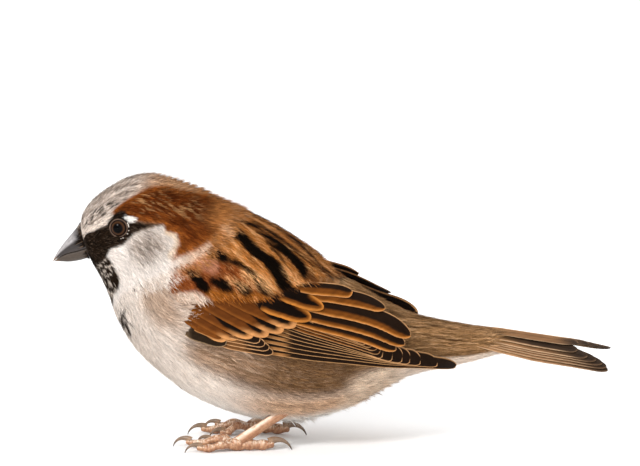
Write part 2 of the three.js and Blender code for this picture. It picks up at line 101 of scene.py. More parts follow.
# The plumage's outline: top x, z, bottom x, z, half width, and the share of the height where it is widest.
stations = np.array([
    [-69.4, 62.2, -66.5, 52.4, 4.1, 0.45],
    [-68.5, 65.4, -65.6, 50.6, 5.9, 0.45],
    [-65.9, 68.9, -64.1, 47.9, 7.6, 0.47],
    [-61.8, 72.2, -62.5, 44.6, 9.2, 0.50],
    [-56.6, 75.1, -61.2, 41.2, 10.7, 0.53],
    [-50.8, 76.3, -60.0, 37.4, 12.0, 0.54],
    [-44.5, 75.0, -58.6, 34.0, 13.4, 0.52],
    [-37.6, 72.7, -56.3, 30.1, 15.4, 0.48],
    [-30.5, 69.3, -52.7, 25.4, 17.9, 0.46],
    [-22.6, 65.4, -46.8, 20.2, 20.0, 0.46],
    [-14.0, 60.9, -39.0, 14.5, 21.2, 0.48],
    [-5.6, 55.2, -29.0, 10.2, 21.0, 0.50],
    [2.0, 49.6, -17.5, 7.7, 19.3, 0.52],
    [9.0, 44.8, -6.0, 8.3, 16.6, 0.54],
    [15.4, 41.1, 4.6, 11.7, 13.4, 0.56],
    [21.2, 38.4, 14.3, 17.1, 10.6, 0.58],
    [27.0, 37.0, 22.7, 21.1, 8.4, 0.58],
    [34.5, 35.6, 32.0, 23.2, 6.9, 0.56],
    [44.0, 34.2, 43.4, 26.2, 5.8, 0.55],
])
lastStation = len(stations) - 1
neckEnd = 7.2
headRelief = [  # where in x and z, reach in x and z, height
    (-58.0, 63.2, 3.4, 3.2, -0.9),
    (-57.5, 67.6, 5.0, 1.7, 0.5),
    (-52.0, 57.5, 6.0, 4.6, 0.9),
    (-64.2, 60.6, 3.2, 2.4, -0.6),
    (-63.0, 54.0, 3.4, 1.8, 0.35),
]
wingBed = {"depth": 1.2, "start": (7.3, 8.8), "end": (12.5, 15), "above": (0.3, 0.7), "below": (1.6, 2.1)}
wingFlare = {"start": 10.5, "end": 15.5, "widen": 5.5, "rise": 4.5}


def section(s):
    return along(stations, s)


def wingSection(s):
    form = section(s).copy()
    flare = smooth(s, wingFlare["start"], wingFlare["end"])
    form[..., 1] += wingFlare["rise"] * flare
    form[..., 4] += wingFlare["widen"] * flare
    return form


def pointOn(form, a, out=0.0):
    # a is 0 on the back, pi / 2 on the left side and pi underneath
    topX, topZ, lowX, lowZ, half, waist = np.moveaxis(form, -1, 0)
    dx, dz = topX - lowX, topZ - lowZ
    height = np.hypot(dx, dz)
    reach = (np.where(np.cos(a) > 0, 1 - waist, waist) * height + out) * np.cos(a)
    x = lowX + dx * waist + dx / height * reach
    z = lowZ + dz * waist + dz / height * reach
    return np.stack([x, -(half + out) * np.sin(a), z], -1)


def bedDepth(s, a):
    turn = np.abs(np.arctan2(np.sin(a), np.cos(a)))
    lengthwise = smooth(s, *wingBed["start"]) * fade(s, *wingBed["end"])
    return wingBed["depth"] * lengthwise * smooth(turn, *wingBed["above"]) * fade(turn, *wingBed["below"])


def relief(points):
    x, y, z = np.moveaxis(points, -1, 0)
    rise = sum(h * np.exp(-((x - cx) / rx) ** 2 - ((z - cz) / rz) ** 2) for cx, cz, rx, rz, h in headRelief)
    return rise * smooth(np.abs(y), 1.5, 6)


def pastEnd(surface, s, a, grow):
    # beyond the last station the surface runs straight on
    inner = np.clip(s, 0.0, lastStation)
    point = surface(inner, a, grow)
    end = np.full_like(inner, lastStation)
    slope = (surface(end, a, grow) - surface(end - 0.2, a, grow)) / 0.2
    return point + slope * (s - inner)[..., None] * (s > lastStation)[..., None]


def bodyForm(s, a, grow):
    form = section(s)
    bump = np.where(s < neckEnd, relief(pointOn(form, a)), -bedDepth(s, a))
    return pointOn(form, a, grow + bump)


def plumage(s, a, grow=0.0):
    return pastEnd(bodyForm, np.asarray(s, float), np.asarray(a, float), grow)


# The coat of the head, the back and the folded wings' small feathers: the body's form, raised over the wing.
shoulder = {"rise": 2.3, "front": (7.3, 8.9), "back": (12.0, 13.5), "above": (0.16, 0.62), "below": (1.62, 1.95)}


def upperCoat(s, a, grow=0.0):
    s, a = np.asarray(s, float), np.asarray(a, float)
    turn = np.abs(a)
    form = mix(section(s), wingSection(s), smooth(turn, 0.2, 0.6)[..., None])
    over = smooth(s, *shoulder["front"]) * fade(s, *shoulder["back"])
    over = over * smooth(turn, *shoulder["above"]) * fade(turn, *shoulder["below"])
    over = over * (1 - smooth(s, 8.8, 9.8) * smooth(turn, 1.45, 1.6))
    bump = np.where(s < neckEnd, relief(pointOn(form, a)), shoulder["rise"] * over - bedDepth(s, a))
    return pointOn(form, a, grow + bump)


def wingInner(s, a, grow=0.0):
    return pointOn(wingSection(s), a, 0.8 - bedDepth(s, a) + grow)


def tangents(surface, s, a, grow=0.0):
    e = 0.02
    p = surface(s, a, grow)
    ds = (surface(s + e, a, grow) - surface(s - e, a, grow)) / (2 * e)
    da = (surface(s, a + e, grow) - surface(s, a - e, grow)) / (2 * e)
    return p, ds, da, unit(np.cross(da, ds))


def addMesh(name, points, faces, material, colours=None, patch=None, normals=None, extra=None):
    mesh = bpy.data.meshes.new(name)
    mesh.from_pydata(toFrame(points).tolist(), [], np.asarray(faces).tolist())
    count = len(points)
    corner = np.zeros(len(mesh.loops), np.int32)
    mesh.loops.foreach_get("vertex_index", corner)
    if colours is not None:
        layer = mesh.color_attributes.new("plumageColour", "FLOAT_COLOR", "POINT")
        rgba = np.ones((count, 4), np.float32)
        rgba[:, :3] = np.clip(colours, 0, 1)
        layer.data.foreach_set("color", rgba.ravel())
    for key, values in (extra or {}).items():
        mesh.attributes.new(key, "FLOAT", "POINT").data.foreach_set("value", np.asarray(values, np.float32))
    if patch is not None:
        layer = mesh.uv_layers.new(name="OFBake")
        layer.uv.foreach_set("vector", np.asarray(patch, np.float32)[corner].ravel())
    mesh.polygons.foreach_set("use_smooth", np.ones(len(mesh.polygons), bool))
    if normals is not None:
        mesh.normals_split_custom_set_from_vertices(unit(normals).tolist())
    mesh.materials.append(material)
    piece = bpy.data.objects.new(name, mesh)
    bpy.context.scene.collection.objects.link(piece)
    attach(piece, "root")
    return piece


class Parts:
    # gathers many small surfaces into one mesh
    def __init__(self):
        self.rows = {"points": [], "faces": [], "colours": [], "patch": [], "normals": [], "barb": []}
        self.count = 0

    def add(self, points, faces, colours, patch, normals=None, barb=None):
        points = np.asarray(points, float).reshape(-1, 3)
        self.rows["points"].append(points)
        self.rows["faces"].append(np.asarray(faces) + self.count)
        self.rows["colours"].append(np.broadcast_to(colours, points.shape))
        self.rows["patch"].append(np.broadcast_to(patch, (len(points), 2)))
        self.rows["normals"].append(normals if normals is not None else np.zeros_like(points))
        self.rows["barb"].append(barb if barb is not None else np.zeros(len(points)))
        self.count += len(points)

    def make(self, name, material, useNormals=False):
        rows = {key: np.concatenate(values) for key, values in self.rows.items()}
        normals = rows["normals"] if useNormals else None
        return addMesh(name, rows["points"], rows["faces"], material, rows["colours"], rows["patch"], normals,
                       {"barb": rows["barb"]})


def gridFaces(rows, columns, closed=False, ringed=False):
    # closed joins the last column to the first, ringed the last row to the first
    i, j = np.meshgrid(np.arange(rows if ringed else rows - 1), np.arange(columns if closed else columns - 1),
                       indexing="ij")
    i, j = i.ravel(), j.ravel()
    k, m = (j + 1) % columns, (i + 1) % rows
    a, b, c, d = i * columns + j, i * columns + k, m * columns + k, m * columns + j
    return np.concatenate([np.stack([a, b, c], -1), np.stack([a, c, d], -1)])


def tubeFaces(rows, sides, hub=0):
    # a closed grid, with a fan of triangles from the point hub over each end
    rest = np.delete(np.arange(sides), hub)
    fan = np.stack([np.full(sides - 2, hub % sides), rest[:-1], rest[1:]], -1)
    return np.concatenate([gridFaces(rows, sides, closed=True), fan, fan[:, ::-1] + (rows - 1) * sides])


def mirrored(points, faces, mirror):
    # the left side's surface, or its mirror image for the right
    return (points * np.array([1, -1, 1]), faces[:, ::-1]) if mirror else (points, faces)


def flat(like, hexColour):
    return np.broadcast_to(linear(hexColour), like.shape + (3,)).copy()


def tone(colour, mask, hexColour):
    return colour + np.asarray(mask)[..., None] * (linear(hexColour) - colour)


def layers(colour, tones, steps):
    # lays tones over a colour, one after another; a step is a mask and the tone's name
    for mask, name in steps:
        colour = tone(colour, mask, tones[name])
    return colour


# markings, in stations s and angles a, the same for skin and coat

headScale, trunkScale = (5.1, 12.5), (7.4, 18.5)  # mm for one station and for one radian


eyeSpot = (4.06, 1.29)


def fromEye(s, a):
    return np.hypot((s - eyeSpot[0]) * headScale[0], (a - eyeSpot[1]) * headScale[1])


def lineDistance(s, a, line, scale):
    here = np.stack([s * scale[0], a * scale[1]], -1)
    knots = np.array(line) * np.array(scale)
    best = np.full(s.shape, 1e9)
    for start, end in zip(knots[:-1], knots[1:]):
        d = end - start
        t = np.clip(((here - start) @ d) / max(d @ d, 1e-9), 0, 1)
        best = np.minimum(best, np.linalg.norm(here - start - t[..., None] * d, axis=-1))
    return best


def patchMask(s, a, outline, soft, scale):
    inside = np.zeros(s.shape, bool)
    ends = outline[1:] + outline[:1]
    for (s0, a0), (s1, a1) in zip(outline, ends):
        crosses = (a0 > a) != (a1 > a)
        inside ^= crosses & (s < (s1 - s0) * (a - a0) / (a1 - a0 + 1e-12) + s0)
    distance = lineDistance(s, a, outline + outline[:1], scale)
    return smooth(np.where(inside, distance, -distance), -soft, soft)


def streakMask(s, a, line, width, soft, scale):
    return fade(lineDistance(s, a, line, scale), width / 2 - soft, width / 2 + soft)


noiseTable = np.random.default_rng(77).random((64, 64))


def cloud(x, y, seed=0):
    # smooth noise from 0 to 1, with one value to each unit of x and y
    x, y = x + seed * 5.31, y + seed * 3.77
    i, j = np.floor(x).astype(int), np.floor(y).astype(int)
    f, g = smooth(x - i, 0, 1), smooth(y - j, 0, 1)
    low = mix(noiseTable[i % 64, j % 64], noiseTable[(i + 1) % 64, j % 64], f)
    high = mix(noiseTable[i % 64, (j + 1) % 64], noiseTable[(i + 1) % 64, (j + 1) % 64], f)
    return mix(low, high, g)


def strokes(s, a, scale, long, wide, seed, lean=0.0):
    # streaky noise along the lie; long and wide are a streak's size in mm
    x, y = s * scale[0], a * scale[1]
    row = (y - lean * x) / wide
    return cloud(x / long + 0.7 * np.sin(row * 1.9 + seed), row, seed)


def taperMask(s, a, line, soft, scale):
    # a streak with its own width, in mm, at each knot
    here = np.stack([s * scale[0], a * scale[1]], -1)
    knots = np.array(line)
    places = knots[:, :2] * np.array(scale)
    best = np.full(s.shape, 1e9)
    for start, end, width0, width1 in zip(places[:-1], places[1:], knots[:-1, 2], knots[1:, 2]):
        d = end - start
        t = np.clip(((here - start) @ d) / max(d @ d, 1e-9), 0, 1)
        gap = np.linalg.norm(here - start - t[..., None] * d, axis=-1) - mix(width0, width1, t) * 0.78
        best = np.minimum(best, gap)
    return fade(best, -soft, soft)


headMarks = {
    "chestnut": [(3.50, 0.98), (4.04, 0.84), (4.71, 0.70), (5.35, 0.50), (5.83, 0.38), (6.37, 0.34), (6.95, 0.26),
                 (7.43, 0.16), (7.9, 0.12), (8.4, 0.12), (8.6, 0.3), (8.4, 0.5), (8.35, 0.68), (8.28, 0.84),
                 (8.18, 0.92), (8.03, 1.01), (7.78, 1.11), (7.55, 1.2), (7.37, 1.29), (7.33, 1.17), (7.31, 1.07),
                 (7.09, 1.00), (6.63, 1.06), (6.45, 1.00), (5.61, 1.13), (4.81, 1.20), (4.38, 1.11), (3.98, 1.06),
                 (3.72, 1.06)],
    "black": [(-0.5, 2.3), (-0.5, 1.3), (0.40, 1.26), (1.22, 1.19), (1.98, 1.23), (2.64, 1.22), (3.20, 1.20),
              (3.40, 1.10), (3.72, 1.06), (4.10, 1.06), (4.44, 1.12), (4.81, 1.19), (5.61, 1.13), (6.43, 1.00),
              (5.87, 1.15), (5.21, 1.34), (4.99, 1.45), (4.63, 1.58), (3.62, 1.69), (3.38, 1.80), (3.30, 1.85),
              (1.54, 2.3)],
    "bib": [(-0.5, 1.9), (3.28, 1.80), (3.94, 1.90), (4.32, 1.99), (4.97, 2.06), (5.05, 2.21), (4.62, 2.46),
            (4.70, 2.8), (4.9, 3.3), (-0.5, 3.3)],
    "white": [(3.62, 1.69), (4.63, 1.58), (4.99, 1.45), (5.21, 1.34), (5.87, 1.15), (6.45, 1.00), (6.63, 1.06),
              (7.09, 1.00), (7.31, 1.07), (7.33, 1.17), (7.37, 1.29), (7.55, 1.2), (7.78, 1.11), (8.03, 1.01),
              (8.18, 0.92), (8.3, 0.85), (8.42, 0.88), (8.36, 0.98), (8.25, 1.07), (8.05, 1.18), (7.75, 1.3),
              (7.26, 1.48), (6.87, 1.63), (6.13, 1.96), (5.43, 2.25), (5.1, 2.65), (4.75, 2.75), (4.57, 2.44),
              (5.05, 2.11), (5.03, 2.02), (4.32, 1.99), (3.82, 1.89), (3.38, 1.80)],
    "greyCheek": [(5.25, 1.37), (5.65, 1.23), (6.13, 1.12), (6.45, 1.08), (6.73, 1.09), (7.01, 1.13), (7.09, 1.23),
                  (6.91, 1.34), (6.55, 1.50), (6.11, 1.64), (5.63, 1.67), (5.19, 1.61), (5.01, 1.52)],
    "cheekSmudge": [(5.9, 1.3), (6.3, 1.32), (6.35, 1.4), (6.1, 1.5)],
    "cheekRim": [(6.67, 1.05), (7.03, 1.02), (7.25, 1.07), (7.27, 1.16), (7.19, 1.25)],
    "spot": [(4.34, 1.12, 0.3), (4.5, 1.13, 0.5), (4.7, 1.155, 0.8), (4.95, 1.15, 0.7), (5.08, 1.13, 0.3)],
    "brow": [(0.26, 0.95), (1.12, 1.08), (1.86, 1.12), (2.68, 1.12), (3.34, 1.03)],
    "highlights": [(5.2, 0.82), (5.9, 0.7), (6.6, 0.62), (7.2, 0.56)],
    "crownStreaks": [[(2.12, 0.75), (2.36, 0.67)], [(2.44, 0.77), (2.86, 0.73)], [(2.82, 0.93), (3.04, 0.92)],
                     [(3.12, 0.72), (3.44, 0.76)], [(3.42, 0.86), (3.82, 0.83)], [(1.3, 0.86), (1.5, 0.8)],
                     [(1.9, 0.9), (2.1, 0.84)], [(2.6, 0.84), (2.9, 0.8)]],
    "breastStreaks": [[(4.79, 2.86), (5.17, 2.50)], [(5.69, 2.47), (5.59, 2.25)], [(5.65, 2.75), (5.57, 2.55)],
                      [(6.13, 2.60), (6.01, 2.38)], [(6.17, 2.62), (6.55, 2.80)], [(6.69, 2.59), (7.05, 2.63)],
                      [(6.21, 1.98), (6.47, 1.83)], [(5.2, 3.0), (5.5, 2.95)], [(5.9, 2.9), (6.1, 3.05)]],
    "greyStreak": [(5.77, 2.19), (5.87, 2.08)],
}
headTones = {
    "crown": "#b5a497", "crownDark": "#544639", "crownPale": "#e6d8cc", "nape": "#bf8f66", "napePale": "#d6ae88",
    "hindNeck": "#b0733f", "forehead": "#c3b3a7", "browPale": "#e6d7ca", "chestnut": "#5a2a0d",
    "chestnutEdge": "#8f4f1f", "chestnutFront": "#57290d", "chestnutPale": "#c29260", "chestnutDark": "#2e1305",
    "white": "#e0d6ce", "whiteBuff": "#c09c80", "cheek": "#a99a8e", "cheekDark": "#75675d", "rim": "#dcc6ae",
    "black": "#21170f", "blackDeep": "#0f0905", "blackPale": "#4d3f34", "bibTip": "#cbbcae", "breast": "#ddd0c5",
    "spot": "#f2ece5",
}


def headPaint(s, a, own, barb, tip):
    # own is a random number of the feather, barb one of the barb, and tip is 1 for the barbs at the feather's end
    colour = flat(s, headTones["crown"])
    sc = headScale
    streaky = (1 - 0.35 * smooth(s, 3.5, 6)) * fade(a, 1.2, 1.4)
    fine = strokes(s, a, sc, 1.9, 0.42, 1) + 0.35 * (barb - 0.5)
    brow = streakMask(s, a, headMarks["brow"], 1.9, 0.7, sc)
    colour = layers(colour, headTones, [
        (fade(s, 1.5, 3.2) * 0.8, "forehead"),
        (smooth(s, 4.2, 6.2) * 0.95, "nape"),
        (smooth(s, 6.7, 7.6), "hindNeck"),
        (smooth(a, 1.25, 1.45), "breast"),
        (fade(fine, 0.2, 0.42) * 0.75 * streaky, "crownDark"),
        (smooth(fine, 0.6, 0.8) * 0.7 * streaky * fade(s, 4.5, 6), "crownPale"),
        (smooth(fine, 0.6, 0.8) * 0.5 * smooth(s, 4.5, 6) * fade(a, 1.2, 1.4), "napePale"),
        (brow * np.where(barb > 0.22, 0.9, 0.2), "browPale")])
    for line in headMarks["crownStreaks"]:
        colour = tone(colour, streakMask(s, a, line, 0.7, 0.25, sc) * 0.9, headTones["blackDeep"])
    brown = patchMask(s, a, headMarks["chestnut"], 0.5, sc)
    shade = tone(flat(s, headTones["chestnut"]), fade(s, 4.2, 5.6) * 0.8, headTones["chestnutFront"])
    rimward = fade(patchMask(s, a, headMarks["chestnut"], 3.4, sc), 0.5, 0.9)
    pale = streakMask(s, a, headMarks["highlights"], 4.0, 2.0, sc)
    shade = layers(shade, headTones, [
        (rimward * 0.75, "chestnutEdge"),
        (fade(fine, 0.22, 0.42) * 0.35, "chestnutDark"),
        (smooth(fine, 0.6, 0.8) * 0.4, "chestnutEdge"),
        (pale * smooth(strokes(s, a, sc, 1.3, 0.35, 21), 0.6, 0.75) * 0.6, "chestnutPale"),
        (smooth(s, 7.5, 8.3) * fade(a, 0.5, 0.8) * 0.85, "hindNeck")])
    colour = colour + brown[..., None] * (shade - colour)
    white = patchMask(s, a, headMarks["white"], 0.4, sc)
    shade = flat(s, headTones["white"])
    grey = patchMask(s, a, headMarks["greyCheek"], 2.0, sc)
    hair = strokes(s, a, sc, 1.6, 0.34, 2) + 0.3 * (barb - 0.5)
    shade = layers(shade, headTones, [
        (smooth(s, 7.2, 8.1) * 0.85, "whiteBuff"),
        (grey * 0.9, "cheek"),
        (grey * fade(hair, 0.25, 0.42) * 0.65, "cheekDark"),
        (grey * smooth(hair, 0.65, 0.85) * 0.35, "white"),
        (streakMask(s, a, headMarks["cheekSmudge"], 2.4, 1.2, sc) * (barb > 0.45) * 0.6, "cheekDark"),
        (streakMask(s, a, headMarks["cheekRim"], 1.0, 0.4, sc) * 0.9, "rim")])
    colour = colour + white[..., None] * (shade - colour)
    bib = patchMask(s, a, headMarks["bib"], 0.4, sc)
    spots = smooth(strokes(s, a, sc, 1.0, 0.6, 3), 0.56, 0.66) * (tip > 0.5) * smooth(s, 1.4, 2.6)
    face = np.maximum(patchMask(s, a, headMarks["black"], 0.35, sc), fade(fromEye(s, a), 3.3, 3.9))
    return layers(colour, headTones, [
        (bib, "black"),
        (bib * spots * 0.9, "bibTip"),
        (face, "black"),
        (face * (own > 0.5) * 0.7, "blackDeep"),
        (face * (barb > 0.82) * 0.6, "blackPale"),
        (taperMask(s, a, headMarks["spot"], 0.2, sc), "spot")])


bodyMarks = {
    "tan": [(6.63, 1.85), (7.13, 1.58), (7.67, 1.50), (8.25, 1.52), (8.89, 1.6), (9.05, 1.80), (8.53, 1.94),
            (7.87, 2.03), (6.95, 1.99)],
    "rumpStreaks": [[(16.6, 1.12), (17.3, 1.2)], [(15.2, 0.7), (15.8, 0.75)], [(16.2, 0.5), (16.9, 0.55)],
                    [(14.2, 0.35), (14.9, 0.4)], [(16.9, 0.2), (17.6, 0.25)], [(15.5, 0.1), (16.1, 0.12)]],
}
bodyTones = {
    "breast": "#d9ccc1", "breastGrey": "#bfaea0", "tan": "#ab907a", "belly": "#eee1d5", "bellyWhite": "#f8f0e8",
    "flank": "#92735a", "flankDark": "#5f4936", "flankPale": "#bb9f86", "flankRear": "#6a4b2e",
    "bellyRear": "#c99f7a", "vent": "#e8d0b8", "ventBrown": "#ad8660", "undertail": "#ecd9c8", "rump": "#96704a",
    "rumpDark": "#4a331f", "rumpPale": "#c79f76", "black": "#2a211b", "streakTan": "#8f7460",
}


def bodyPaint(s, a, own, barb, tip):
    colour = flat(s, bodyTones["breast"])
    sc = trunkScale
    fine = strokes(s, a, sc, 3.4, 0.5, 5) + 0.3 * (barb - 0.5)
    dark, pale = fade(fine, 0.22, 0.42), smooth(fine, 0.6, 0.8)
    tan = np.maximum(patchMask(s, a, bodyMarks["tan"], 3.4, sc), smooth(s, 7.3, 8.1) * fade(a, 1.5, 1.72))
    side = smooth(s, 8.6, 9.8) * fade(a, 1.95, 2.28)
    rear = smooth(s, 10.6, 12.2) * fade(s, 13.8, 15.0) * smooth(a, 2.05, 2.3) * fade(a, 2.42, 2.8)
    vent = smooth(s, 13.4, 14.4) * smooth(a, 1.72, 2.02)
    low = 0.35 * smooth(s, 15.5, 17.5)
    back = smooth(s, 10.5, 12.0) * fade(a, 1.6 + low, 1.8 + low)
    back = back * np.maximum(smooth(s, 13.0, 14.2), fade(a, 1.0, 1.3))
    broad = strokes(s, a, sc, 3.8, 0.8, 8) + 0.2 * (barb - 0.5)
    colour = layers(colour, bodyTones, [
        (dark * 0.4 * fade(s, 8.5, 9.5), "breastGrey"),
        (tan * 0.9, "tan"),
        (tan * dark * 0.5, "streakTan"),
        (smooth(s, 8.2, 10.0) * 0.8, "belly"),
        (smooth(s, 9.0, 11.0) * smooth(a, 2.35, 2.75), "bellyWhite"),
        (side, "flank"),
        (side * dark * 0.6, "flankDark"),
        (side * pale * 0.7, "flankPale"),
        (smooth(s, 10.6, 12.0) * fade(s, 13.6, 14.8) * fade(a, 1.9, 2.45) * 0.85, "flankRear"),
        (rear * 0.85, "bellyRear"),
        (rear * dark * 0.5, "flank"),
        (vent, "vent"),
        (vent * (barb < 0.3) * 0.35 * fade(s, 15.2, 16.2), "ventBrown"),
        (smooth(s, 15.0, 16.0) * smooth(a, 1.9, 2.15), "undertail"),
        (back, "rump"),
        (back * fade(broad, 0.2, 0.36) * 0.6, "rumpDark"),
        (back * smooth(broad, 0.6, 0.8) * 0.6, "rumpPale"),
        (back * dark * 0.25, "rumpDark")])
    for line in bodyMarks["rumpStreaks"]:
        colour = tone(colour, streakMask(s, a, line, 1.5, 0.5, sc) * 0.9, bodyTones["rumpDark"])
    colour = tone(colour, (1 - back) * (own > 0.82) * 0.3 * smooth(s, 6.5, 8.0) * fade(a, 2.3, 2.7),
                  bodyTones["streakTan"])
    for line in headMarks["breastStreaks"]:
        colour = tone(colour, streakMask(s, a, line, 1.5, 0.3, headScale), bodyTones["black"])
    front = smooth(s, 4.2, 4.6) * fade(s, 6.9, 7.3) * smooth(a, 2.2, 2.4)
    return layers(colour, bodyTones, [
        (front * smooth(strokes(s, a, headScale, 1.4, 0.5, 9, -0.5), 0.62, 0.7), "black"),
        (streakMask(s, a, headMarks["greyStreak"], 1.2, 0.5, headScale) * 0.6, "black")])


def skinPaint(s, a, own, barb, tip):
    # the head's markings end along the neck, where the breast's and the back's begin
    a = np.abs(a)
    head, body, upper = (paint(s, a, own, barb, tip) for paint in (headPaint, bodyPaint, upperPaint))
    border = patchMask(s, a, headMarks["throughNeck"], 0.5, headScale)
    back = smooth(s, 7.9, 8.5) * fade(a, 1.2, 1.4) * fade(s, 11.5, 12.5)
    body = body + back[..., None] * (upper - body)
    return body + border[..., None] * (head - body)


headMarks["throughNeck"] = [(-1.0, -0.5), (8.5, -0.5), (8.55, 0.3), (8.37, 0.63), (8.41, 0.70), (8.31, 0.90),
                            (8.23, 1.02), (7.99, 1.17), (7.63, 1.31), (7.29, 1.47), (6.87, 1.63), (6.13, 1.96),
                            (5.43, 2.25), (5.15, 2.65), (4.9, 3.4), (-1.0, 3.4)]

# where the small feathers of back and wing end, over the big ones
coverEdge = [(6.6, -0.4), (12.4, -0.4), (12.3, 0.12), (11.9, 0.32), (11.75, 0.58), (11.35, 0.72), (11.1, 0.86),
             (10.9, 0.98), (10.6, 1.09), (10.1, 1.18), (9.64, 1.28), (9.27, 1.39), (8.9, 1.47), (8.5, 1.54),
             (8.1, 1.58), (7.2, 1.54), (6.6, 1.3)]
upperMarks = {  # the lines' third number is the width there, in mm
    "rufous": [(7.33, 1.48), (7.48, 1.37), (7.76, 1.25), (8.0, 1.15), (8.3, 1.05), (8.65, 1.02), (9.01, 0.97),
               (9.37, 0.94), (9.71, 0.96), (10.04, 1.0), (10.47, 1.06), (10.41, 1.2), (9.86, 1.28), (9.35, 1.38),
               (9.04, 1.42), (8.65, 1.48), (8.35, 1.54), (8.07, 1.54), (7.64, 1.52)],
    "pink": [(8.25, 1.10, 1.4), (8.49, 1.07, 1.9), (8.74, 1.07, 1.7)],
    "covertBand": [(9.06, 1.32, 1.4), (9.41, 1.29, 1.7), (9.80, 1.23, 1.7), (10.18, 1.16, 1.7), (10.47, 1.08, 1.4)],
    "whiteBar": [(8.24, 1.52, 1.2), (8.50, 1.48, 1.7), (8.73, 1.44, 1.9), (8.97, 1.42, 1.4), (9.15, 1.40, 0.8)],
    "buffs": [
        [(8.35, 0.23, 0.8), (8.73, 0.23, 1.2), (9.10, 0.15, 1.1), (9.43, 0.15, 1.1)],
        [(8.58, 0.46, 1.1), (8.93, 0.48, 1.9), (9.24, 0.51, 2.5), (9.52, 0.58, 2.5), (9.82, 0.61, 2.5),
         (10.10, 0.63, 2.2), (10.35, 0.67, 2.2), (10.61, 0.70, 2.5), (10.88, 0.73, 2.8), (11.09, 0.75, 1.7)],
        [(8.54, 0.74, 1.4), (8.84, 0.75, 2.5), (9.12, 0.75, 2.5), (9.43, 0.79, 2.5), (9.72, 0.83, 2.5),
         (10.04, 0.88, 2.2), (10.31, 0.93, 2.2), (10.53, 0.95, 1.4)],
        [(9.96, 0.38, 0.8), (10.25, 0.37, 0.8), (10.57, 0.37, 0.8), (10.89, 0.41, 0.8), (11.20, 0.47, 1.7),
         (11.59, 0.51, 1.8)],
    ],
    "fringes": [  # pale tips of the small coverts
        [(9.31, 1.10, 0.8), (9.53, 1.10, 1.1), (9.76, 1.10, 1.1)],
        [(9.67, 0.98, 1.1), (9.88, 1.00, 1.7), (10.07, 1.02, 1.4)],
        [(10.10, 0.93, 1.4), (10.30, 0.96, 1.7), (10.47, 0.98, 1.1)],
        [(10.6, 0.7, 1.0), (10.9, 0.74, 1.6), (11.1, 0.76, 1.2)],
    ],
    "streaks": [
        [(8.45, 0.11, 0.5), (8.69, 0.11, 1.1), (8.92, 0.09, 1.0), (9.05, 0.07, 0.4)],
        [(9.41, -0.02, 0.4), (9.63, 0.0, 0.8), (9.99, 0.0, 0.6)],
        [(8.35, 0.36, 0.3), (8.72, 0.36, 1.2), (9.01, 0.33, 1.4), (9.29, 0.30, 1.3), (9.5, 0.31, 0.5)],
        [(9.4, 0.42, 0.3), (9.79, 0.41, 1.2), (10.04, 0.41, 1.3), (10.31, 0.42, 1.1), (10.5, 0.42, 0.5)],
        [(8.4, 0.62, 0.2), (8.7, 0.60, 0.7), (9.12, 0.61, 1.5), (9.40, 0.66, 1.6), (9.63, 0.69, 1.6),
         (9.86, 0.70, 1.6), (10.08, 0.71, 1.9), (10.31, 0.74, 2.2), (10.49, 0.79, 1.8), (10.66, 0.86, 1.6),
         (10.82, 0.88, 1.5)],
        [(9.76, 0.50, 0.3), (10.02, 0.50, 0.9), (10.26, 0.49, 1.2), (10.50, 0.49, 1.5), (10.73, 0.51, 1.8),
         (10.93, 0.55, 1.8), (11.12, 0.63, 1.1)],
        [(10.17, 0.33, 0.3), (10.39, 0.34, 0.4), (10.68, 0.37, 0.5), (10.98, 0.39, 0.5), (11.23, 0.42, 0.4)],
        [(10.08, 0.0, 0.3), (10.34, 0.0, 0.6), (10.61, 0.01, 0.8), (10.82, 0.08, 1.0), (11.05, 0.13, 0.8),
         (11.25, 0.20, 0.7), (11.52, 0.27, 0.7), (11.84, 0.28, 0.8)],
        [(8.49, 0.98, 1.0), (8.63, 0.93, 1.4), (8.82, 0.92, 1.2), (8.97, 0.93, 1.0)],
        [(9.02, 0.92, 0.3), (9.29, 0.91, 0.8), (9.51, 0.91, 0.7), (9.75, 0.92, 0.8), (9.94, 0.94, 0.9),
         (10.10, 0.98, 1.1), (10.27, 1.01, 1.4), (10.46, 1.03, 1.1)],
        [(8.10, 1.24, 0.7), (8.37, 1.25, 1.2), (8.65, 1.27, 1.4), (8.89, 1.29, 1.1)],
        [(8.90, 1.19, 0.8), (9.12, 1.17, 1.2), (9.32, 1.18, 1.4), (9.52, 1.18, 0.8)],
        [(9.59, 1.09, 0.6), (9.76, 1.11, 1.2), (9.96, 1.12, 1.2)],
        [(10.25, 0.42, 0.2), (10.43, 0.41, 0.3), (10.66, 0.42, 0.3)],
        [(8.76, 0.51, 0.2), (8.98, 0.53, 0.4), (9.19, 0.57, 0.2)],
        [(9.75, 0.52, 0.2), (9.98, 0.55, 0.35), (10.30, 0.59, 0.35), (10.54, 0.64, 0.3)],
        [(10.57, 0.72, 0.3), (10.73, 0.77, 0.5), (10.88, 0.83, 0.6)],
    ],
}
upperTones = {
    "base": "#6f4220", "mantle": "#5c3a20", "buff": "#a5662f", "buffPale": "#d8a06a", "black": "#0c0704",
    "rufous": "#7d401c", "rufousDark": "#54260c", "pink": "#a9735a", "tips": "#8a4f1c", "white": "#d6c2b0",
    "hindNeck": "#96592b",
}


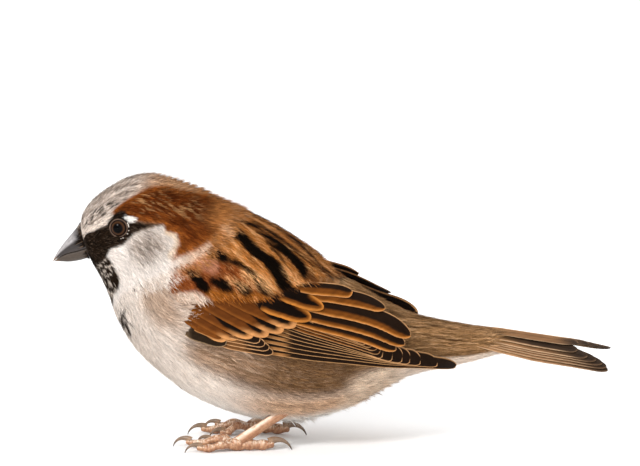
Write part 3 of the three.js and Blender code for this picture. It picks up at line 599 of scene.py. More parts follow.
def upperPaint(s, a, own, barb, tip):
    # each feather's marks sit a little aside of where they would be, so that no edge is a clean line
    s = s + (own - 0.5) * 0.07
    a = a + ((own * 7.3) % 1 - 0.5) * 0.02
    colour = flat(s, upperTones["base"])
    sc = trunkScale
    broad, fine = strokes(s, a, sc, 4.5, 1.0, 11, 0.18), strokes(s, a, sc, 3.0, 0.42, 12, 0.3) + 0.25 * (barb - 0.5)
    dark, pale = fade(fine, 0.22, 0.42), smooth(fine, 0.6, 0.8)
    ridge = fade(a, 0.3, 0.5)
    colour = layers(colour, upperTones, [
        (dark * 0.6, "mantle"),
        (pale * 0.65, "buff"),
        (ridge * 0.2, "mantle"),
        (ridge * smooth(broad, 0.42, 0.56) * 0.95, "buff"),
        (ridge * smooth(broad, 0.52, 0.7) * smooth(fine, 0.35, 0.7) * 0.9, "buffPale")])
    for line in upperMarks["buffs"]:
        buff = taperMask(s, a, line, 0.45, sc)
        colour = layers(colour, upperTones, [
            (buff * (1 - 0.6 * dark), "buff"),
            (buff * pale * 0.9, "buffPale")])
    rufous = patchMask(s, a, upperMarks["rufous"], 0.5, sc)
    black = np.max([taperMask(s, a, line, 0.3, sc) for line in upperMarks["streaks"]], axis=0)
    black = np.maximum(black, ridge * smooth(s, 8.5, 8.9) * fade(broad, 0.24, 0.32))
    colour = layers(colour, upperTones, [
        (rufous, "rufous"),
        (rufous * dark * 0.65, "rufousDark"),
        (taperMask(s, a, upperMarks["pink"], 0.6, sc) * 0.7, "pink"),
        (taperMask(s, a, upperMarks["covertBand"], 0.5, sc), "tips"),
        (fade(s, 8.2, 8.9) * fade(a, 0.7, 0.9), "hindNeck"),
        (taperMask(s, a, upperMarks["whiteBar"], 0.5, sc) * (0.6 + 0.4 * (barb > 0.4)), "white"),
        (black, "black")])
    for line in upperMarks["fringes"]:
        colour = tone(colour, taperMask(s, a, line, 0.5, sc) * (barb > 0.5) * 0.85, upperTones["buffPale"])
    return tone(colour, (barb > 0.93) * (1 - black) * (0.2 + 0.3 * smooth(s, 8.8, 9.4)), upperTones["buffPale"])


print("markings ready")


# materials


def addNode(tree, kind, settings=None, links=None):
    node = tree.nodes.new(kind)
    for key, value in (settings or {}).items():
        if isinstance(key, int) or key in node.inputs:
            node.inputs[key].default_value = value
        else:
            setattr(node, key, value)
    for key, source in (links or {}).items():
        tree.links.new(source, node.inputs[key])
    return node


def newMaterial(name, shader):
    material = bpy.data.materials.new(name)
    material.use_nodes = True
    tree = material.node_tree
    tree.nodes.clear()
    output = addNode(tree, "ShaderNodeOutputMaterial")
    principled = addNode(tree, "ShaderNodeBsdfPrincipled", shader)
    tree.links.new(principled.outputs["BSDF"], output.inputs["Surface"])
    return material, tree, principled


def surfaceMaterial(name, shader, grainScale, bump=None, spread=(0.85, 1.15), detail=3.0):
    # The painted colour, mottled and bumped by a fine noise, or without a scale by waves along the barbs.
    # spread is the mottling's darkest and lightest, bump its strength and its depth in metres.
    material, tree, principled = newMaterial(name, shader)
    colour = addNode(tree, "ShaderNodeAttribute", {"attribute_name": "plumageColour"})
    if grainScale:
        place = addNode(tree, "ShaderNodeTexCoord")
        grain = addNode(tree, "ShaderNodeTexNoise", {"Scale": grainScale, "Detail": detail},
                        {"Vector": place.outputs["Object"]})
        pattern, low, high = grain.outputs["Fac"], 0.3, 0.7
    else:
        barb = addNode(tree, "ShaderNodeAttribute", {"attribute_name": "barb"})
        turn = addNode(tree, "ShaderNodeMath", {"operation": "MULTIPLY", 1: 2 * math.pi}, {0: barb.outputs["Fac"]})
        wave = addNode(tree, "ShaderNodeMath", {"operation": "SINE"}, {0: turn.outputs["Value"]})
        pattern, low, high = wave.outputs["Value"], -1.0, 1.0
    limits = {"From Min": low, "From Max": high, "To Min": spread[0], "To Max": spread[1]}
    shade = addNode(tree, "ShaderNodeMapRange", limits, {"Value": pattern})
    tinted = addNode(tree, "ShaderNodeVectorMath", {"operation": "SCALE"},
                     {0: colour.outputs["Color"], "Scale": shade.outputs["Result"]})
    tree.links.new(tinted.outputs["Vector"], principled.inputs["Base Color"])
    if bump:
        raised = addNode(tree, "ShaderNodeBump", {"Strength": bump[0], "Distance": bump[1]}, {"Height": pattern})
        tree.links.new(raised.outputs["Normal"], principled.inputs["Normal"])
    return material


# contour feather keratin: matt and downy; barbules are 0.03 mm apart, drawn 0.25 mm apart so that they show
featherMaterial = surfaceMaterial("contourFeather", {"Roughness": 0.8, "IOR": 1.5, "Specular IOR Level": 0.02},
                                  2400.0, None, (0.86, 1.12), 2.0)
# flight feather vane: smooth keratin, with barbs running out from the shaft
vaneMaterial = surfaceMaterial("flightFeather", {"Roughness": 0.5, "IOR": 1.54, "Specular IOR Level": 0.02},
                               None, (0.35, 0.00006), (0.88, 1.1))
skinMaterial = surfaceMaterial("downySkin", {"Roughness": 0.9, "Specular IOR Level": 0.1}, 1800.0, (0.5, 0.0002))
# bill: horn sheath, satin, with a fine lengthwise wear
hornMaterial = surfaceMaterial("billHorn", {"Roughness": 0.4, "IOR": 1.55, "Specular IOR Level": 0.2}, 1500.0,
                               (0.5, 0.00008))
# legs: dry scaly skin, a little waxy
scaleMaterial = surfaceMaterial("legScales", {
    "Roughness": 0.48, "IOR": 1.45, "Subsurface Weight": 0.05, "Subsurface Scale": 0.001,
    "Subsurface Radius": (1.0, 0.4, 0.2)}, 1400.0, (0.5, 0.0001))
clawMaterial = surfaceMaterial("clawHorn", {"Roughness": 0.35, "IOR": 1.55, "Specular IOR Level": 0.35}, 1600.0,
                               (0.5, 0.00004))
lidMaterial = surfaceMaterial("eyelidSkin", {"Roughness": 0.75, "IOR": 1.45, "Specular IOR Level": 0.1}, 3000.0,
                              (0.5, 0.00012))
print("materials ready")


# the skin

skinPiece = {"depth": 0.75, "rings": 220, "sides": 128}


def makeSkin():
    rings, sides = skinPiece["rings"], skinPiece["sides"]
    s, a = np.meshgrid(np.linspace(0, lastStation, rings), np.arange(sides) / sides * 2 * np.pi, indexing="ij")
    turn = np.arctan2(np.sin(a), np.cos(a))
    depth = skinPiece["depth"] * np.minimum(1, 0.35 + s / 4) + 2.2 * smooth(s, 16.6, 18.0)
    points = plumage(s.ravel(), turn.ravel(), -depth.ravel())
    under = smooth(patchMask(s.ravel(), np.abs(turn.ravel()), coverEdge, 1.6, trunkScale), 0.3, 1.0)
    points = mix(points, upperCoat(s.ravel(), turn.ravel(), -1.0), under[:, None])
    rng = np.random.default_rng(5)
    own = rng.random(points.shape[0])
    # the skin's colours are the markings darkened to 0.72, as painted shade beneath the coat
    colours = skinPaint(s.ravel(), turn.ravel(), own * 0.7, own, own * 0.5) * 0.72
    patch = np.stack([0.02 + 0.96 * s.ravel() / lastStation, 0.02 + 0.96 * a.ravel() / (2 * np.pi)], -1)
    piece = addMesh("skin", points, tubeFaces(rings, sides)[:, ::-1], skinMaterial, colours, patch)
    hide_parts("head", "neck", "torso")


# the coat


def roots(surface, count, sRange, aRange, keep, seed):
    # an even scatter over the surface, by a low-discrepancy sequence thinned by area
    i = np.arange(1, count + 1) + seed * 7919
    r1, r2, r3 = (i * 0.8191725134) % 1, (i * 0.6710436067) % 1, (i * 0.5497004779) % 1
    s = sRange[0] + r1 * (sRange[1] - sRange[0])
    a = aRange[0] + r2 * (aRange[1] - aRange[0])
    _, ds, da, _ = tangents(surface, s, a)
    area = np.linalg.norm(np.cross(ds, da), axis=-1)
    kept = area / np.percentile(area, 97) * keep(s, np.abs(a)) > r3
    return s[kept], a[kept]


def tuftCoat(parts, surface, s, a, size, paint, seed, lie=None):
    # Each feather is a fan of fine barbs, each a thin blade of three triangles, from its shaft to its rounded tip.
    rng = np.random.default_rng(seed)
    n, barbs = len(s), size["barbs"]
    side = np.sign(a + 1e-9)
    length = size["length"](s, np.abs(a)) * rng.uniform(0.8, 1.2, n)
    width = length * size["width"]
    _, ds, da, normal = tangents(surface, s, a)
    tailward = unit(ds)
    across = np.cross(tailward, normal)
    turn = (lie(s, np.abs(a)) if lie else np.zeros(n)) * side + rng.normal(0, size["messy"], n)
    ahead = tailward * np.cos(turn)[:, None] + across * np.sin(turn)[:, None]
    beside = np.cross(ahead, normal)
    g11, g12, g22 = (ds * ds).sum(-1), (ds * da).sum(-1), (da * da).sum(-1)
    det = g11 * g22 - g12 ** 2

    def inSurface(d):
        b1, b2 = (ds * d).sum(-1), (da * d).sum(-1)
        return (g22 * b1 - g12 * b2) / det, (g11 * b2 - g12 * b1) / det

    (as1, aa1), (as2, aa2) = inSurface(ahead), inSurface(beside)
    k = np.arange(barbs)
    q = np.clip((k // 2 + rng.random((n, barbs))) / (barbs / 2), 0, 1)
    hand = np.where(k % 2 == 0, 1.0, -1.0)
    endX = length[:, None] * (0.35 + 0.65 * q ** 0.85) * rng.uniform(0.9, 1.05, (n, barbs))
    endY = hand * width[:, None] / 2 * np.sqrt(1 - (q * 0.96) ** 2) * rng.uniform(0.6, 1.15, (n, barbs))
    # three or four neighbouring barbs cling together
    clump = k % 2 + 2 * (k // (2 * size["clump"]))
    clumps = clump.max() + 1
    clumpX, clumpY = (np.stack([end[:, clump == c].mean(1) for c in range(clumps)], 1)[:, clump]
                      for end in (endX, endY))
    endX, endY = mix(endX, clumpX, 0.3), mix(endY, clumpY, 0.7)
    reach = length[:, None] * rng.uniform(*size["reach"], (n, barbs))
    startX, startY = np.maximum(endX - reach, 0), endY * 0.2
    bend = rng.normal(0, size["bend"], (n, barbs)) * reach
    midX, midY = mix(startX, endX, 0.5), mix(startY, endY, 0.62) + bend
    dx, dy = endX - startX, endY - startY
    norm = np.hypot(dx, dy)
    px, py = -dy / norm, dx / norm
    blade = size["blade"] * rng.uniform(0.6, 1.4, (n, barbs)) / 2
    x, y = (np.stack([start - off * blade, start + off * blade, mid - off * blade * 0.9, mid + off * blade * 0.9,
                      end], -1)
            for start, mid, end, off in ((startX, midX, endX, px), (startY, midY, endY, py)))
    along1 = np.clip(x / length[:, None, None], 0, 1)
    lift = mix(size["low"], size["high"], along1 ** 1.2)
    lift = lift + rng.uniform(-0.5, 0.5, (n, barbs))[..., None] * size["loose"]
    lift = lift + (along1 > 0.75) * rng.uniform(0, 1, (n, barbs))[..., None] ** 4 * size["flyaway"]
    lift = lift - 0.12 * (y / (width[:, None, None] / 2 + 1e-6)) ** 2
    puff = size["puff"](s, np.abs(a))[:, None] * mix(rng.random((n, 1)), 0.5, 0.3)
    puff = puff * rng.uniform(0.7, 1, (n, clumps))[:, clump]
    lift = lift + along1 ** 2 * puff[..., None]
    lift = lift + rng.normal(0, 0.05, n)[:, None, None]
    pick = (slice(None), None, None)
    sAt = s[pick] + x * as1[pick] + y * as2[pick]
    aAt = a[pick] + x * aa1[pick] + y * aa2[pick]
    points = surface(np.maximum(sAt, 0.0).ravel(), aAt.ravel(), lift.ravel())
    own, barbShade = rng.random(n), rng.random((n, clumps))[:, clump]
    barbShade = np.clip(barbShade + rng.normal(0, 0.1, (n, barbs)), 0, 1)
    # a barb's root, middle and end take the colour of a place along it, so the marks' edges are ragged
    place = np.array(size["paintAt"]) + rng.uniform(-0.12, 0.12, (n, barbs, 1))
    shape = place.shape
    sThere, aThere = mix(sAt[..., :1], sAt[..., 4:], place), np.abs(mix(aAt[..., :1], aAt[..., 4:], place))
    ownAll, barbAll = np.broadcast_to(own[:, None, None], shape), np.broadcast_to(barbShade[..., None], shape)
    tipness = np.broadcast_to(np.clip(endX / length[:, None], 0, 1)[..., None], shape)
    colour = paint(*(part.ravel() for part in (sThere, aThere, ownAll, barbAll, tipness))).reshape(shape + (3,))
    colour = colour[:, :, [0, 0, 1, 1, 2]]
    spread = rng.normal(0, 0.85, (n, barbs)) + rng.normal(0, 0.8, (n, clumps))[:, clump] + rng.normal(0, 0.45, (n, 1))
    # pale feathers shine through, so their shades differ less
    pale = smooth(colour.mean((2, 3)), 0.25, 0.75)
    bright = np.exp(spread * size["contrast"] * (1 - 0.6 * pale))
    # barbs painted darker towards the root, as painted shade where the feathers above cover them, and a little
    # lighter at the tip
    depth = mix(np.array([0.5, 0.5, 0.88, 0.88, 1.12]), np.array([0.8, 0.8, 0.94, 0.94, 1.02]), pale[..., None])
    shade = np.clip(bright, 0.45, 1.9)[..., None] * depth
    colours = colour * shade[..., None]
    tilt = rng.normal(0, size["glint"], (n, barbs, 1))
    roll = (tilt + 0.35 * y / width[:, None, None])[..., None]
    normals = normal[:, None, None, :] + beside[:, None, None, :] * roll
    normals = normals + ahead[:, None, None, :] * (0.12 * along1)[..., None]
    base = np.stack([0.02 + 0.96 * np.clip(s, 0, lastStation) / lastStation,
                     0.02 + 0.96 * (a % (2 * np.pi)) / (2 * np.pi)], -1)
    local = np.stack([x / length[:, None, None] - 0.5, y / width[:, None, None]], -1) * 0.003
    patch = base[:, None, None, :] + local
    start = np.arange(n * barbs)[:, None] * 5
    faces = np.concatenate([start + np.array(f) for f in ([0, 1, 3], [0, 3, 2], [2, 3, 4])])
    parts.add(points, faces, colours.reshape(-1, 3), patch.reshape(-1, 2), normals.reshape(-1, 3))


coatBase = {"low": -0.8, "high": 0.05, "loose": 0.14, "flyaway": 0.4, "messy": 0.1, "reach": (0.45, 0.7),
            "bend": 0.05, "paintAt": (0.4, 0.7, 1.0), "contrast": 0.27, "glint": 0.35, "clump": 2}
headCoat = {
    **coatBase, "width": 0.42, "barbs": 14, "blade": 0.115, "low": -0.6, "high": 0.12, "bend": 0.04,
    "paintAt": (0.3, 0.65, 1.0), "length": lambda s, a: 1.5 + 1.7 * smooth(s, 0.4, 5) + 1.5 * smooth(s, 6, 8),
    "puff": lambda s, a: 1.9 * smooth(s, 3.8, 5.5) * fade(a, 0.5, 0.9) + 0.35,
}
frontCoat = {
    **coatBase, "width": 0.5, "barbs": 24, "blade": 0.14, "contrast": 0.2, "glint": 0.3,
    "length": lambda s, a: 4.4 + 1.8 * smooth(s, 5.5, 9.5), "puff": lambda s, a: 0.4 + 0 * s,
}
rearCoat = {
    **coatBase, "width": 0.45, "barbs": 24, "blade": 0.15, "loose": 0.16, "messy": 0.11,
    "length": lambda s, a: 5.6 + 1.2 * smooth(s, 12, 15),
    "puff": lambda s, a: (0.5 + 3.2 * np.exp(-((s - 14.2) / 1.0) ** 2) * smooth(a, 2.0, 2.5)
                          + 4.0 * np.exp(-((s - 12.5) / 0.45) ** 2) * smooth(a, 2.6, 2.9)),
}
backCoat = {
    **coatBase, "width": 0.36, "barbs": 20, "blade": 0.14, "low": -0.9, "high": 0.1, "loose": 0.16, "flyaway": 0.35,
    "messy": 0.09, "reach": (0.45, 0.75), "bend": 0.04, "paintAt": (0.3, 0.65, 1.0), "contrast": 0.28,
    "length": lambda s, a: 3.8 + 2.2 * smooth(s, 7.6, 9.5), "puff": lambda s, a: 0.5 + 0 * s,
}


def underWing(s, a):
    # where the folded wing hides the body
    return smooth(s, 9.0, 9.4) * fade(s, 14.4, 15.0) * smooth(a, 0.45, 0.55) * fade(a, 1.5, 1.62)


def frontLie(s, a):
    # beside the wing the breast feathers sweep up over its edge
    return -0.5 * smooth(s, 7.0, 8.0) * fade(s, 9.4, 10.5) * smooth(a, 1.2, 1.45) * fade(a, 1.8, 2.3)


def backLie(s, a):
    # the shoulder's feathers point down and back
    return 0.32 * smooth(a, 0.15, 0.5) * smooth(s, 7.6, 8.8)


def headArea(s, a):
    inNeck = patchMask(s, a, headMarks["throughNeck"], 0.6, headScale)
    return np.clip(inNeck * 2, 0, 1) * (fromEye(s, a) > 2.6)


def frontArea(s, a):
    inNeck = patchMask(s + 0.5, a, headMarks["throughNeck"], 0.8, headScale)
    # its tips end where the wing begins
    limit = np.interp(a, [1.0, 1.36, 1.48, 1.53, 1.59, 1.63, 1.72, 1.82, 1.9],
                      [7.3, 7.45, 7.65, 8.55, 9.15, 9.45, 9.6, 9.65, 12.0])
    return np.clip(2 - inNeck * 2, 0, 1) * (1 - underWing(s, a)) * ((s + 0.72 < limit) | ((s > 9.3) & (a > 1.72)))


def rearArea(s, a):
    longest = 17.75 + 0.22 * np.sin(a * 19) + 0.4 * smooth(a, 1.7, 2.4)
    return (1 - underWing(s, a)) * np.where(s < 12.0, smooth(a, 1.45, 1.6), 1.0) * (s < longest)


def farBackArea(s, a):
    # on the right the coat of the back ends sooner, and its wing's tertials show
    return backArea(s, a) * (s < mix(11.2, 10.7, smooth(a, 0.15, 0.45)))


def backArea(s, a):
    tipS = s + 0.62 * smooth(s, 7.2, 8.6)
    inNeck = patchMask(s + 0.3, a, headMarks["throughNeck"], 0.8, headScale)
    return np.clip(2 - inNeck * 2, 0, 1) * patchMask(tipS, a + 0.02, coverEdge, 0.25, trunkScale)


def makeCoats():
    for label, sign in (("Left", 1), ("Right", -1)):
        seed = 11 if sign > 0 else 29
        jobs = [
            ("coatHead", upperCoat, 16500, (0.04, 8.7), (0.0, np.pi), headArea, headCoat, headPaint, None,
             "head_feathers"),
            ("coatFront", upperCoat, 7600, (4.6, 11.2), (0.0, np.pi), frontArea, frontCoat, bodyPaint, frontLie,
             "body_feathers"),
            ("coatRear", plumage, 7600, (11.2, 18.4), (0.0, np.pi), rearArea, rearCoat, bodyPaint, None,
             "body_feathers"),
            ("coatBack", upperCoat, 9000, (7.2, 12.6), (0.0, 1.58), backArea if sign > 0 else farBackArea,
             backCoat, upperPaint, backLie, "wing_feathers"),
        ]
        for name, surface, count, sRange, aRange, keep, size, paint, lie, slot in jobs:
            s, a = roots(surface, count, sRange, aRange, keep, seed)
            a = a * sign
            parts = Parts()
            tuftCoat(parts, surface, s, a, size, paint, seed, lie)
            piece = parts.make(name + label, featherMaterial, useNormals=True)
            print(name + label, len(s), "feathers,", len(piece.data.polygons), "triangles")


# wings: vanes laid like shingles, as [x, z] on the folded wing


def onWing(x, z):
    x, z = np.asarray(x, float), np.asarray(z, float)
    low, high = np.full(x.shape, 6.0), np.full(x.shape, float(lastStation))
    for _ in range(30):
        mid = (low + high) / 2
        f = wingSection(mid)
        before = (f[..., 0] - f[..., 2]) * (z - f[..., 3]) - (f[..., 1] - f[..., 3]) * (x - f[..., 2]) < 0
        low, high = np.where(before, mid, low), np.where(before, high, mid)
    f = wingSection(low)
    share = (z - f[..., 3]) / (f[..., 1] - f[..., 3])
    waist = f[..., 5]
    return low, np.arccos(np.clip((share - waist) / np.where(share > waist, 1 - waist, waist), -0.97, 0.97))


narrowest = 0.0012  # the square of a web's least share of its width
vaneV = np.array([-1, -0.96, -0.9, -0.82, -0.72, -0.6, -0.48, -0.36, -0.24, -0.12, -0.04,
                  0.04, 0.12, 0.24, 0.36, 0.5, 0.64, 0.78, 0.88, 0.95, 1])


def vaneSurface(parts, centre, normal, forward, spec, cell, mirror):
    # centre, normal and forward are rows along the feather, at places u; v runs from the outer web to the inner
    u = spec["u"]
    length = spec["span"]
    full = spec["width"] * mix(spec.get("rootShare", 0.6), 1.0, smooth(u, 0, 0.35))
    share = spec.get("outerShare", 0.45)
    outer, inner = (full * part * np.maximum(1 - np.clip((u - tip) / (1 - tip), 0, 1) ** 2.0, narrowest) ** 0.5
                    for part, tip in ((share, spec.get("outerTip", 0.82)), (1 - share, spec.get("innerTip", 0.72))))
    rng = np.random.default_rng(spec["seed"])
    fray = 1 + 0.012 * rng.normal(0, 1, len(u)) * (u > 0.2)
    v = np.broadcast_to(vaneV, (len(u), len(vaneV)))
    reach = np.where(v < 0, (outer * fray)[:, None], inner[:, None])
    y = v * reach
    across = unit(np.cross(normal, forward))
    sunk = spec.get("sink", 0.8) * fade(u, 0, spec.get("sinkTo", 0.35))[:, None]
    lift = spec["lift"] + spec["tilt"] * (1 - v) / 2 - sunk
    lift = lift - y ** 2 / spec.get("droop", 40) + 0.06 * np.exp(-(v / 0.05) ** 2)
    top = centre[:, None] + across[:, None] * y[..., None] + normal[:, None] * lift[..., None]
    edge = np.minimum.reduce([np.where(v < 0, (1 + v) * outer[:, None], 9.0),
                              np.where(v > 0, (1 - v) * inner[:, None], 9.0),
                              np.broadcast_to(((1 - u) * length)[:, None], v.shape)])
    barb = (u[:, None] * length + np.abs(y) * 0.9) / 0.42
    # groups of barbs differ a little in shade, and marks end at another place on each
    group = cloud(barb * 0.45, v * 1.2, spec["seed"])
    ragged = cloud(barb * 0.6, np.sign(v) * 3.0, spec["seed"] + 7) - 0.5
    colours = spec["paint"](np.broadcast_to(u[:, None], v.shape), v + 0.09 * ragged, edge * (1 + 0.2 * ragged), y,
                            spec)
    colours = colours * (0.8 + 0.4 * group)[..., None]
    colours = colours * (1 - 0.35 * np.exp(-(v / 0.045) ** 2))[..., None]
    rows, columns = v.shape
    along0, along1 = np.gradient(top, axis=0), np.gradient(top, axis=1)
    facing = unit(np.cross(along1, along0))
    facing = facing * np.sign((facing * normal[:, None]).sum(-1, keepdims=True))
    under = top - normal[:, None] * spec.get("thick", 0.1)
    points = np.concatenate([top.reshape(-1, 3), under.reshape(-1, 3)])
    normals = np.concatenate([facing.reshape(-1, 3), -facing.reshape(-1, 3)])
    faces = gridFaces(rows, columns)
    back = faces[:, ::-1] + rows * columns
    rim = np.concatenate([np.arange(rows) * columns, (rows - 1) * columns + np.arange(1, columns),
                          np.arange(rows - 2, -1, -1) * columns + columns - 1, np.arange(columns - 2, 0, -1)])
    after = np.roll(rim, -1)
    low = rows * columns
    walls = np.concatenate([np.stack([rim, after, after + low], -1), np.stack([rim, after + low, rim + low], -1)])
    faces = np.concatenate([faces, back, walls[:, ::-1]])
    if mirror:
        points = settle(points * np.array([1, -1, 1]))
        normals = normals * np.array([1, -1, 1])
        faces = faces[:, ::-1]
    column, row, across0, down0 = cell
    cu = (column + 0.04 + 0.92 * u[:, None] * np.ones(columns)) / across0
    cv = (row + 0.5 + 0.44 * v) / down0
    patch = np.stack([cu, cv], -1).reshape(-1, 2)
    # the underside takes the top's colours darkened to 0.8, as painted shade
    both = np.concatenate([colours.reshape(-1, 3), colours.reshape(-1, 3) * 0.8])
    parts.add(points, faces[:, ::-1], both, np.concatenate([patch, patch]), normals, np.tile(barb.ravel(), 2))


def settle(points):
    # the right wing's long feathers lie a little lower on the back than the left one's
    x = points[:, 0]
    return points + np.stack([0 * x, -smooth(x, -14, 8), -1.2 * smooth(x, 3, 15)], -1)


def wingVane(parts, spec, cell, mirror):
    t = np.linspace(0, 1, spec.get("rows", 44))
    u = 1 - (1 - t) ** 1.5
    root, tip = np.array(spec["root"]), np.array(spec["tip"])
    d = tip - root
    side = np.array([d[1], -d[0]]) / np.linalg.norm(d)
    flat = root + d * u[:, None] + side * (spec.get("bow", 0.0) * 4 * u * (1 - u))[:, None]
    s, a = onWing(flat[:, 0], flat[:, 1])
    p, _, _, normal = tangents(wingInner, s, a)
    step = flat + d * 0.03
    s2, a2 = onWing(step[:, 0], step[:, 1])
    forward = unit(wingInner(s2, a2) - p)
    spec = {**spec, "u": u, "span": np.linalg.norm(np.diff(p, axis=0), axis=-1).sum()}
    vaneSurface(parts, p, normal, forward, spec, cell, mirror)


vaneTones = {
    "dark": "#190e07", "darkest": "#0d0603", "orange": "#5c320e", "orangePale": "#a2652a", "rim": "#b98a5e",
    "rufous": "#50290b", "rufousLow": "#683a14", "covertTip": "#bb8350", "buffEdge": "#a3794f",
    "brownEdge": "#8a6a48", "panel": "#8d6037", "farEdgeWithPaintedLight": "#efb379", "tailDark": "#2f231a",
    "tailBrown": "#7d5a3c", "tailBuff": "#967051", "tailEdge": "#c8a683",
}


def tertialPaint(u, v, edge, y, spec):
    # dark, with a rufous outer web that is palest along its edge
    border = spec["split"] - 0.25 * smooth(u, 0.6, 1.0)
    colour = flat(v, vaneTones["dark"])
    if spec["mirrored"]:
        border = border - 0.5
    warm = fade(v, border - 0.22, border + 0.12)
    colour = layers(colour, vaneTones, [
        (warm, "orange"),
        (warm * fade(edge, 0.2, 0.9) * 0.85, "orangePale")])
    if spec["mirrored"]:
        # from the left, the right wing shows only these feathers' inner webs, with their broad pale edge; it is
        # painted much lighter, as painted light for a side the lamps barely reach
        colour = tone(colour, (v > 0) * fade(edge, 0.6, 0.9), vaneTones["farEdgeWithPaintedLight"])
    rim = fade(edge, 0.14, 0.32)
    return tone(colour, rim * np.where(v > 0, 0.85, 0.4), vaneTones["rim"])


def secondaryPaint(u, v, edge, y, spec):
    colour = flat(v, vaneTones["dark"])
    broad = spec["edging"] * mix(1.25, 0.55, smooth(u, 0.2, 0.95))
    return layers(colour, vaneTones, [
        ((v < 0.1) * fade(edge, broad * 0.7, broad), "orange"),
        ((v < 0) * fade(edge, 0.08, 0.26) * 0.8, "buffEdge"),
        (fade(edge, 0.1, 0.24) * smooth(u, 0.8, 0.95) * 0.8, "brownEdge")])


def primaryPaint(u, v, edge, y, spec):
    colour = flat(v, vaneTones["dark"])
    x = mix(spec["root"][0], spec["tip"][0], u)
    panel = (v < 0.5) * fade(x, -12.5, -9.5) * fade(edge, 1.0, 1.5)
    return layers(colour, vaneTones, [
        (panel * 0.9, "panel"),
        ((v < 0) * fade(edge, 0.07, 0.22), "buffEdge"),
        (fade(edge, 0.1, 0.26) * smooth(u, 0.8, 0.9) * 0.9, "rim")])


def covertPaint(u, v, edge, y, spec):
    # rufous, with a black wedge beside the shaft that widens to the pale tip
    colour = flat(v, vaneTones["rufous"])
    toTip = (1 - u) * spec["span"]
    start = spec["wedgeFrom"]
    border = mix(0.35, spec["wedge"], smooth(u, start, start + 0.35))
    wedge = smooth(v, border - 0.08, border + 0.08) * smooth(toTip, 1.5, 2.4) * smooth(u, start, start + 0.12)
    rimward = np.minimum(toTip, np.where(v < 0, edge * 1.6, 9.0))
    return layers(colour, vaneTones, [
        (fade(edge, 0.2, 1.0), "rufousLow"),
        (wedge, "darkest"),
        (fade(rimward, 0.4, 2.6) * smooth(u, 0.6, 0.8) * 0.85, "covertTip")])


def ovalPaint(u, v, edge, y, spec):
    # black, with a rufous border round the tip and along the outer web
    colour = flat(v, vaneTones["darkest"])
    border = spec["border"]
    rim = fade(edge, border - 0.2, border + 0.2) * np.where(v > 0, smooth(u, 0.6, 0.8), smooth(u, 0.1, 0.3))
    return layers(colour, vaneTones, [
        (rim, "orange"),
        (rim * fade(edge, 0.3, 1.1), "orangePale")])


def darkPaint(u, v, edge, y, spec):
    colour = flat(v, spec.get("tone", vaneTones["dark"]))
    if "baseTone" in spec:
        colour = tone(colour, fade(u + 0.05 * v, 0.02, 0.2), spec["baseTone"])
    if "warmBase" in spec:
        colour = tone(colour, (v < 0.2) * fade(u, 0.5, 0.7), spec["warmBase"])
    return tone(colour, fade(edge, 0.12, 0.28) * 0.85, spec.get("edgeTone", vaneTones["rim"]))


primaryTips = [(34.6, 26.0), (29.8, 27.1), (25.2, 27.9), (22.3, 28.5), (20.2, 29.0), (17.6, 29.6), (15.0, 30.4)]
primaryRoots = [(-20.5, 31.9), (-19.6, 33.5), (-18.8, 35.1), (-18.0, 36.6), (-17.2, 37.9), (-16.3, 39.0),
                (-15.4, 40.0)]
secondaryTips = [(14.4, 31.5), (13.6, 32.4), (12.4, 33.2), (10.9, 33.9), (9.2, 34.6)]
secondaryRoots = [(-14.6, 40.6), (-13.8, 41.3), (-12.8, 42.0), (-11.6, 42.7), (-10.6, 43.3)]

wingFeathers = []
for i, (root, tip) in enumerate(zip(primaryRoots, primaryTips)):
    wingFeathers.append({"root": root, "tip": tip, "width": 5.0, "outerShare": 0.22, "lift": 0.2 + 0.07 * i,
                         "tilt": 0.3, "paint": primaryPaint, "outerTip": 0.965, "innerTip": 0.915, "rows": 60})
for i, (root, tip) in enumerate(zip(secondaryRoots, secondaryTips)):
    wingFeathers.append({"root": root, "tip": tip, "width": 4.6, "outerShare": 0.3, "lift": 0.68 + 0.05 * i,
                         "tilt": 0.3, "paint": secondaryPaint, "edging": 0.6, "outerTip": 0.94, "innerTip": 0.9,
                         "rows": 50})
tertials = [  # root, tip, width, outer web's share, lift, where its rufous ends, bow
    ((-11.0, 40.6), (18.6, 32.2), 4.6, 0.4, 1.0, -0.35, -0.6),
    ((-10.5, 42.2), (20.9, 33.4), 4.8, 0.42, 1.08, -0.3, -0.8),
    ((-10.0, 44.6), (22.4, 35.2), 6.0, 0.44, 1.16, -0.15, -1.2),
    ((-9.0, 46.8), (15.3, 40.9), 5.4, 0.46, 1.28, -0.1, -1.0),
    ((-9.5, 48.4), (5.8, 45.6), 4.2, 0.6, 1.4, -0.05, -0.4),
]
for root, tip, width, outerShare, lift, split, bow in tertials:
    wingFeathers.append({"farLift": 0.7 if lift == tertials[-1][4] else 0.0,
                         "root": root, "tip": tip, "width": width, "outerShare": outerShare, "lift": lift,
                         "tilt": 0.4, "paint": tertialPaint, "split": split, "outerTip": 0.86, "innerTip": 0.7,
                         "bow": bow, "rows": 50, "sink": 0.2})
primaryCoverts = [((-31.6, 34.4), (-14.7, 31.6)), ((-31.6, 35.5), (-15.7, 32.9)), ((-31.4, 36.6), (-16.9, 34.0)),
                  ((-31.0, 37.8), (-18.2, 35.0))]
for i, (root, tip) in enumerate(primaryCoverts):
    wingFeathers.append({"root": root, "tip": tip, "width": 2.8, "lift": 0.9 + 0.1 * i, "tilt": 0.3,
                         "paint": darkPaint, "warmBase": "#5c3b20", "outerTip": 0.86, "innerTip": 0.8})
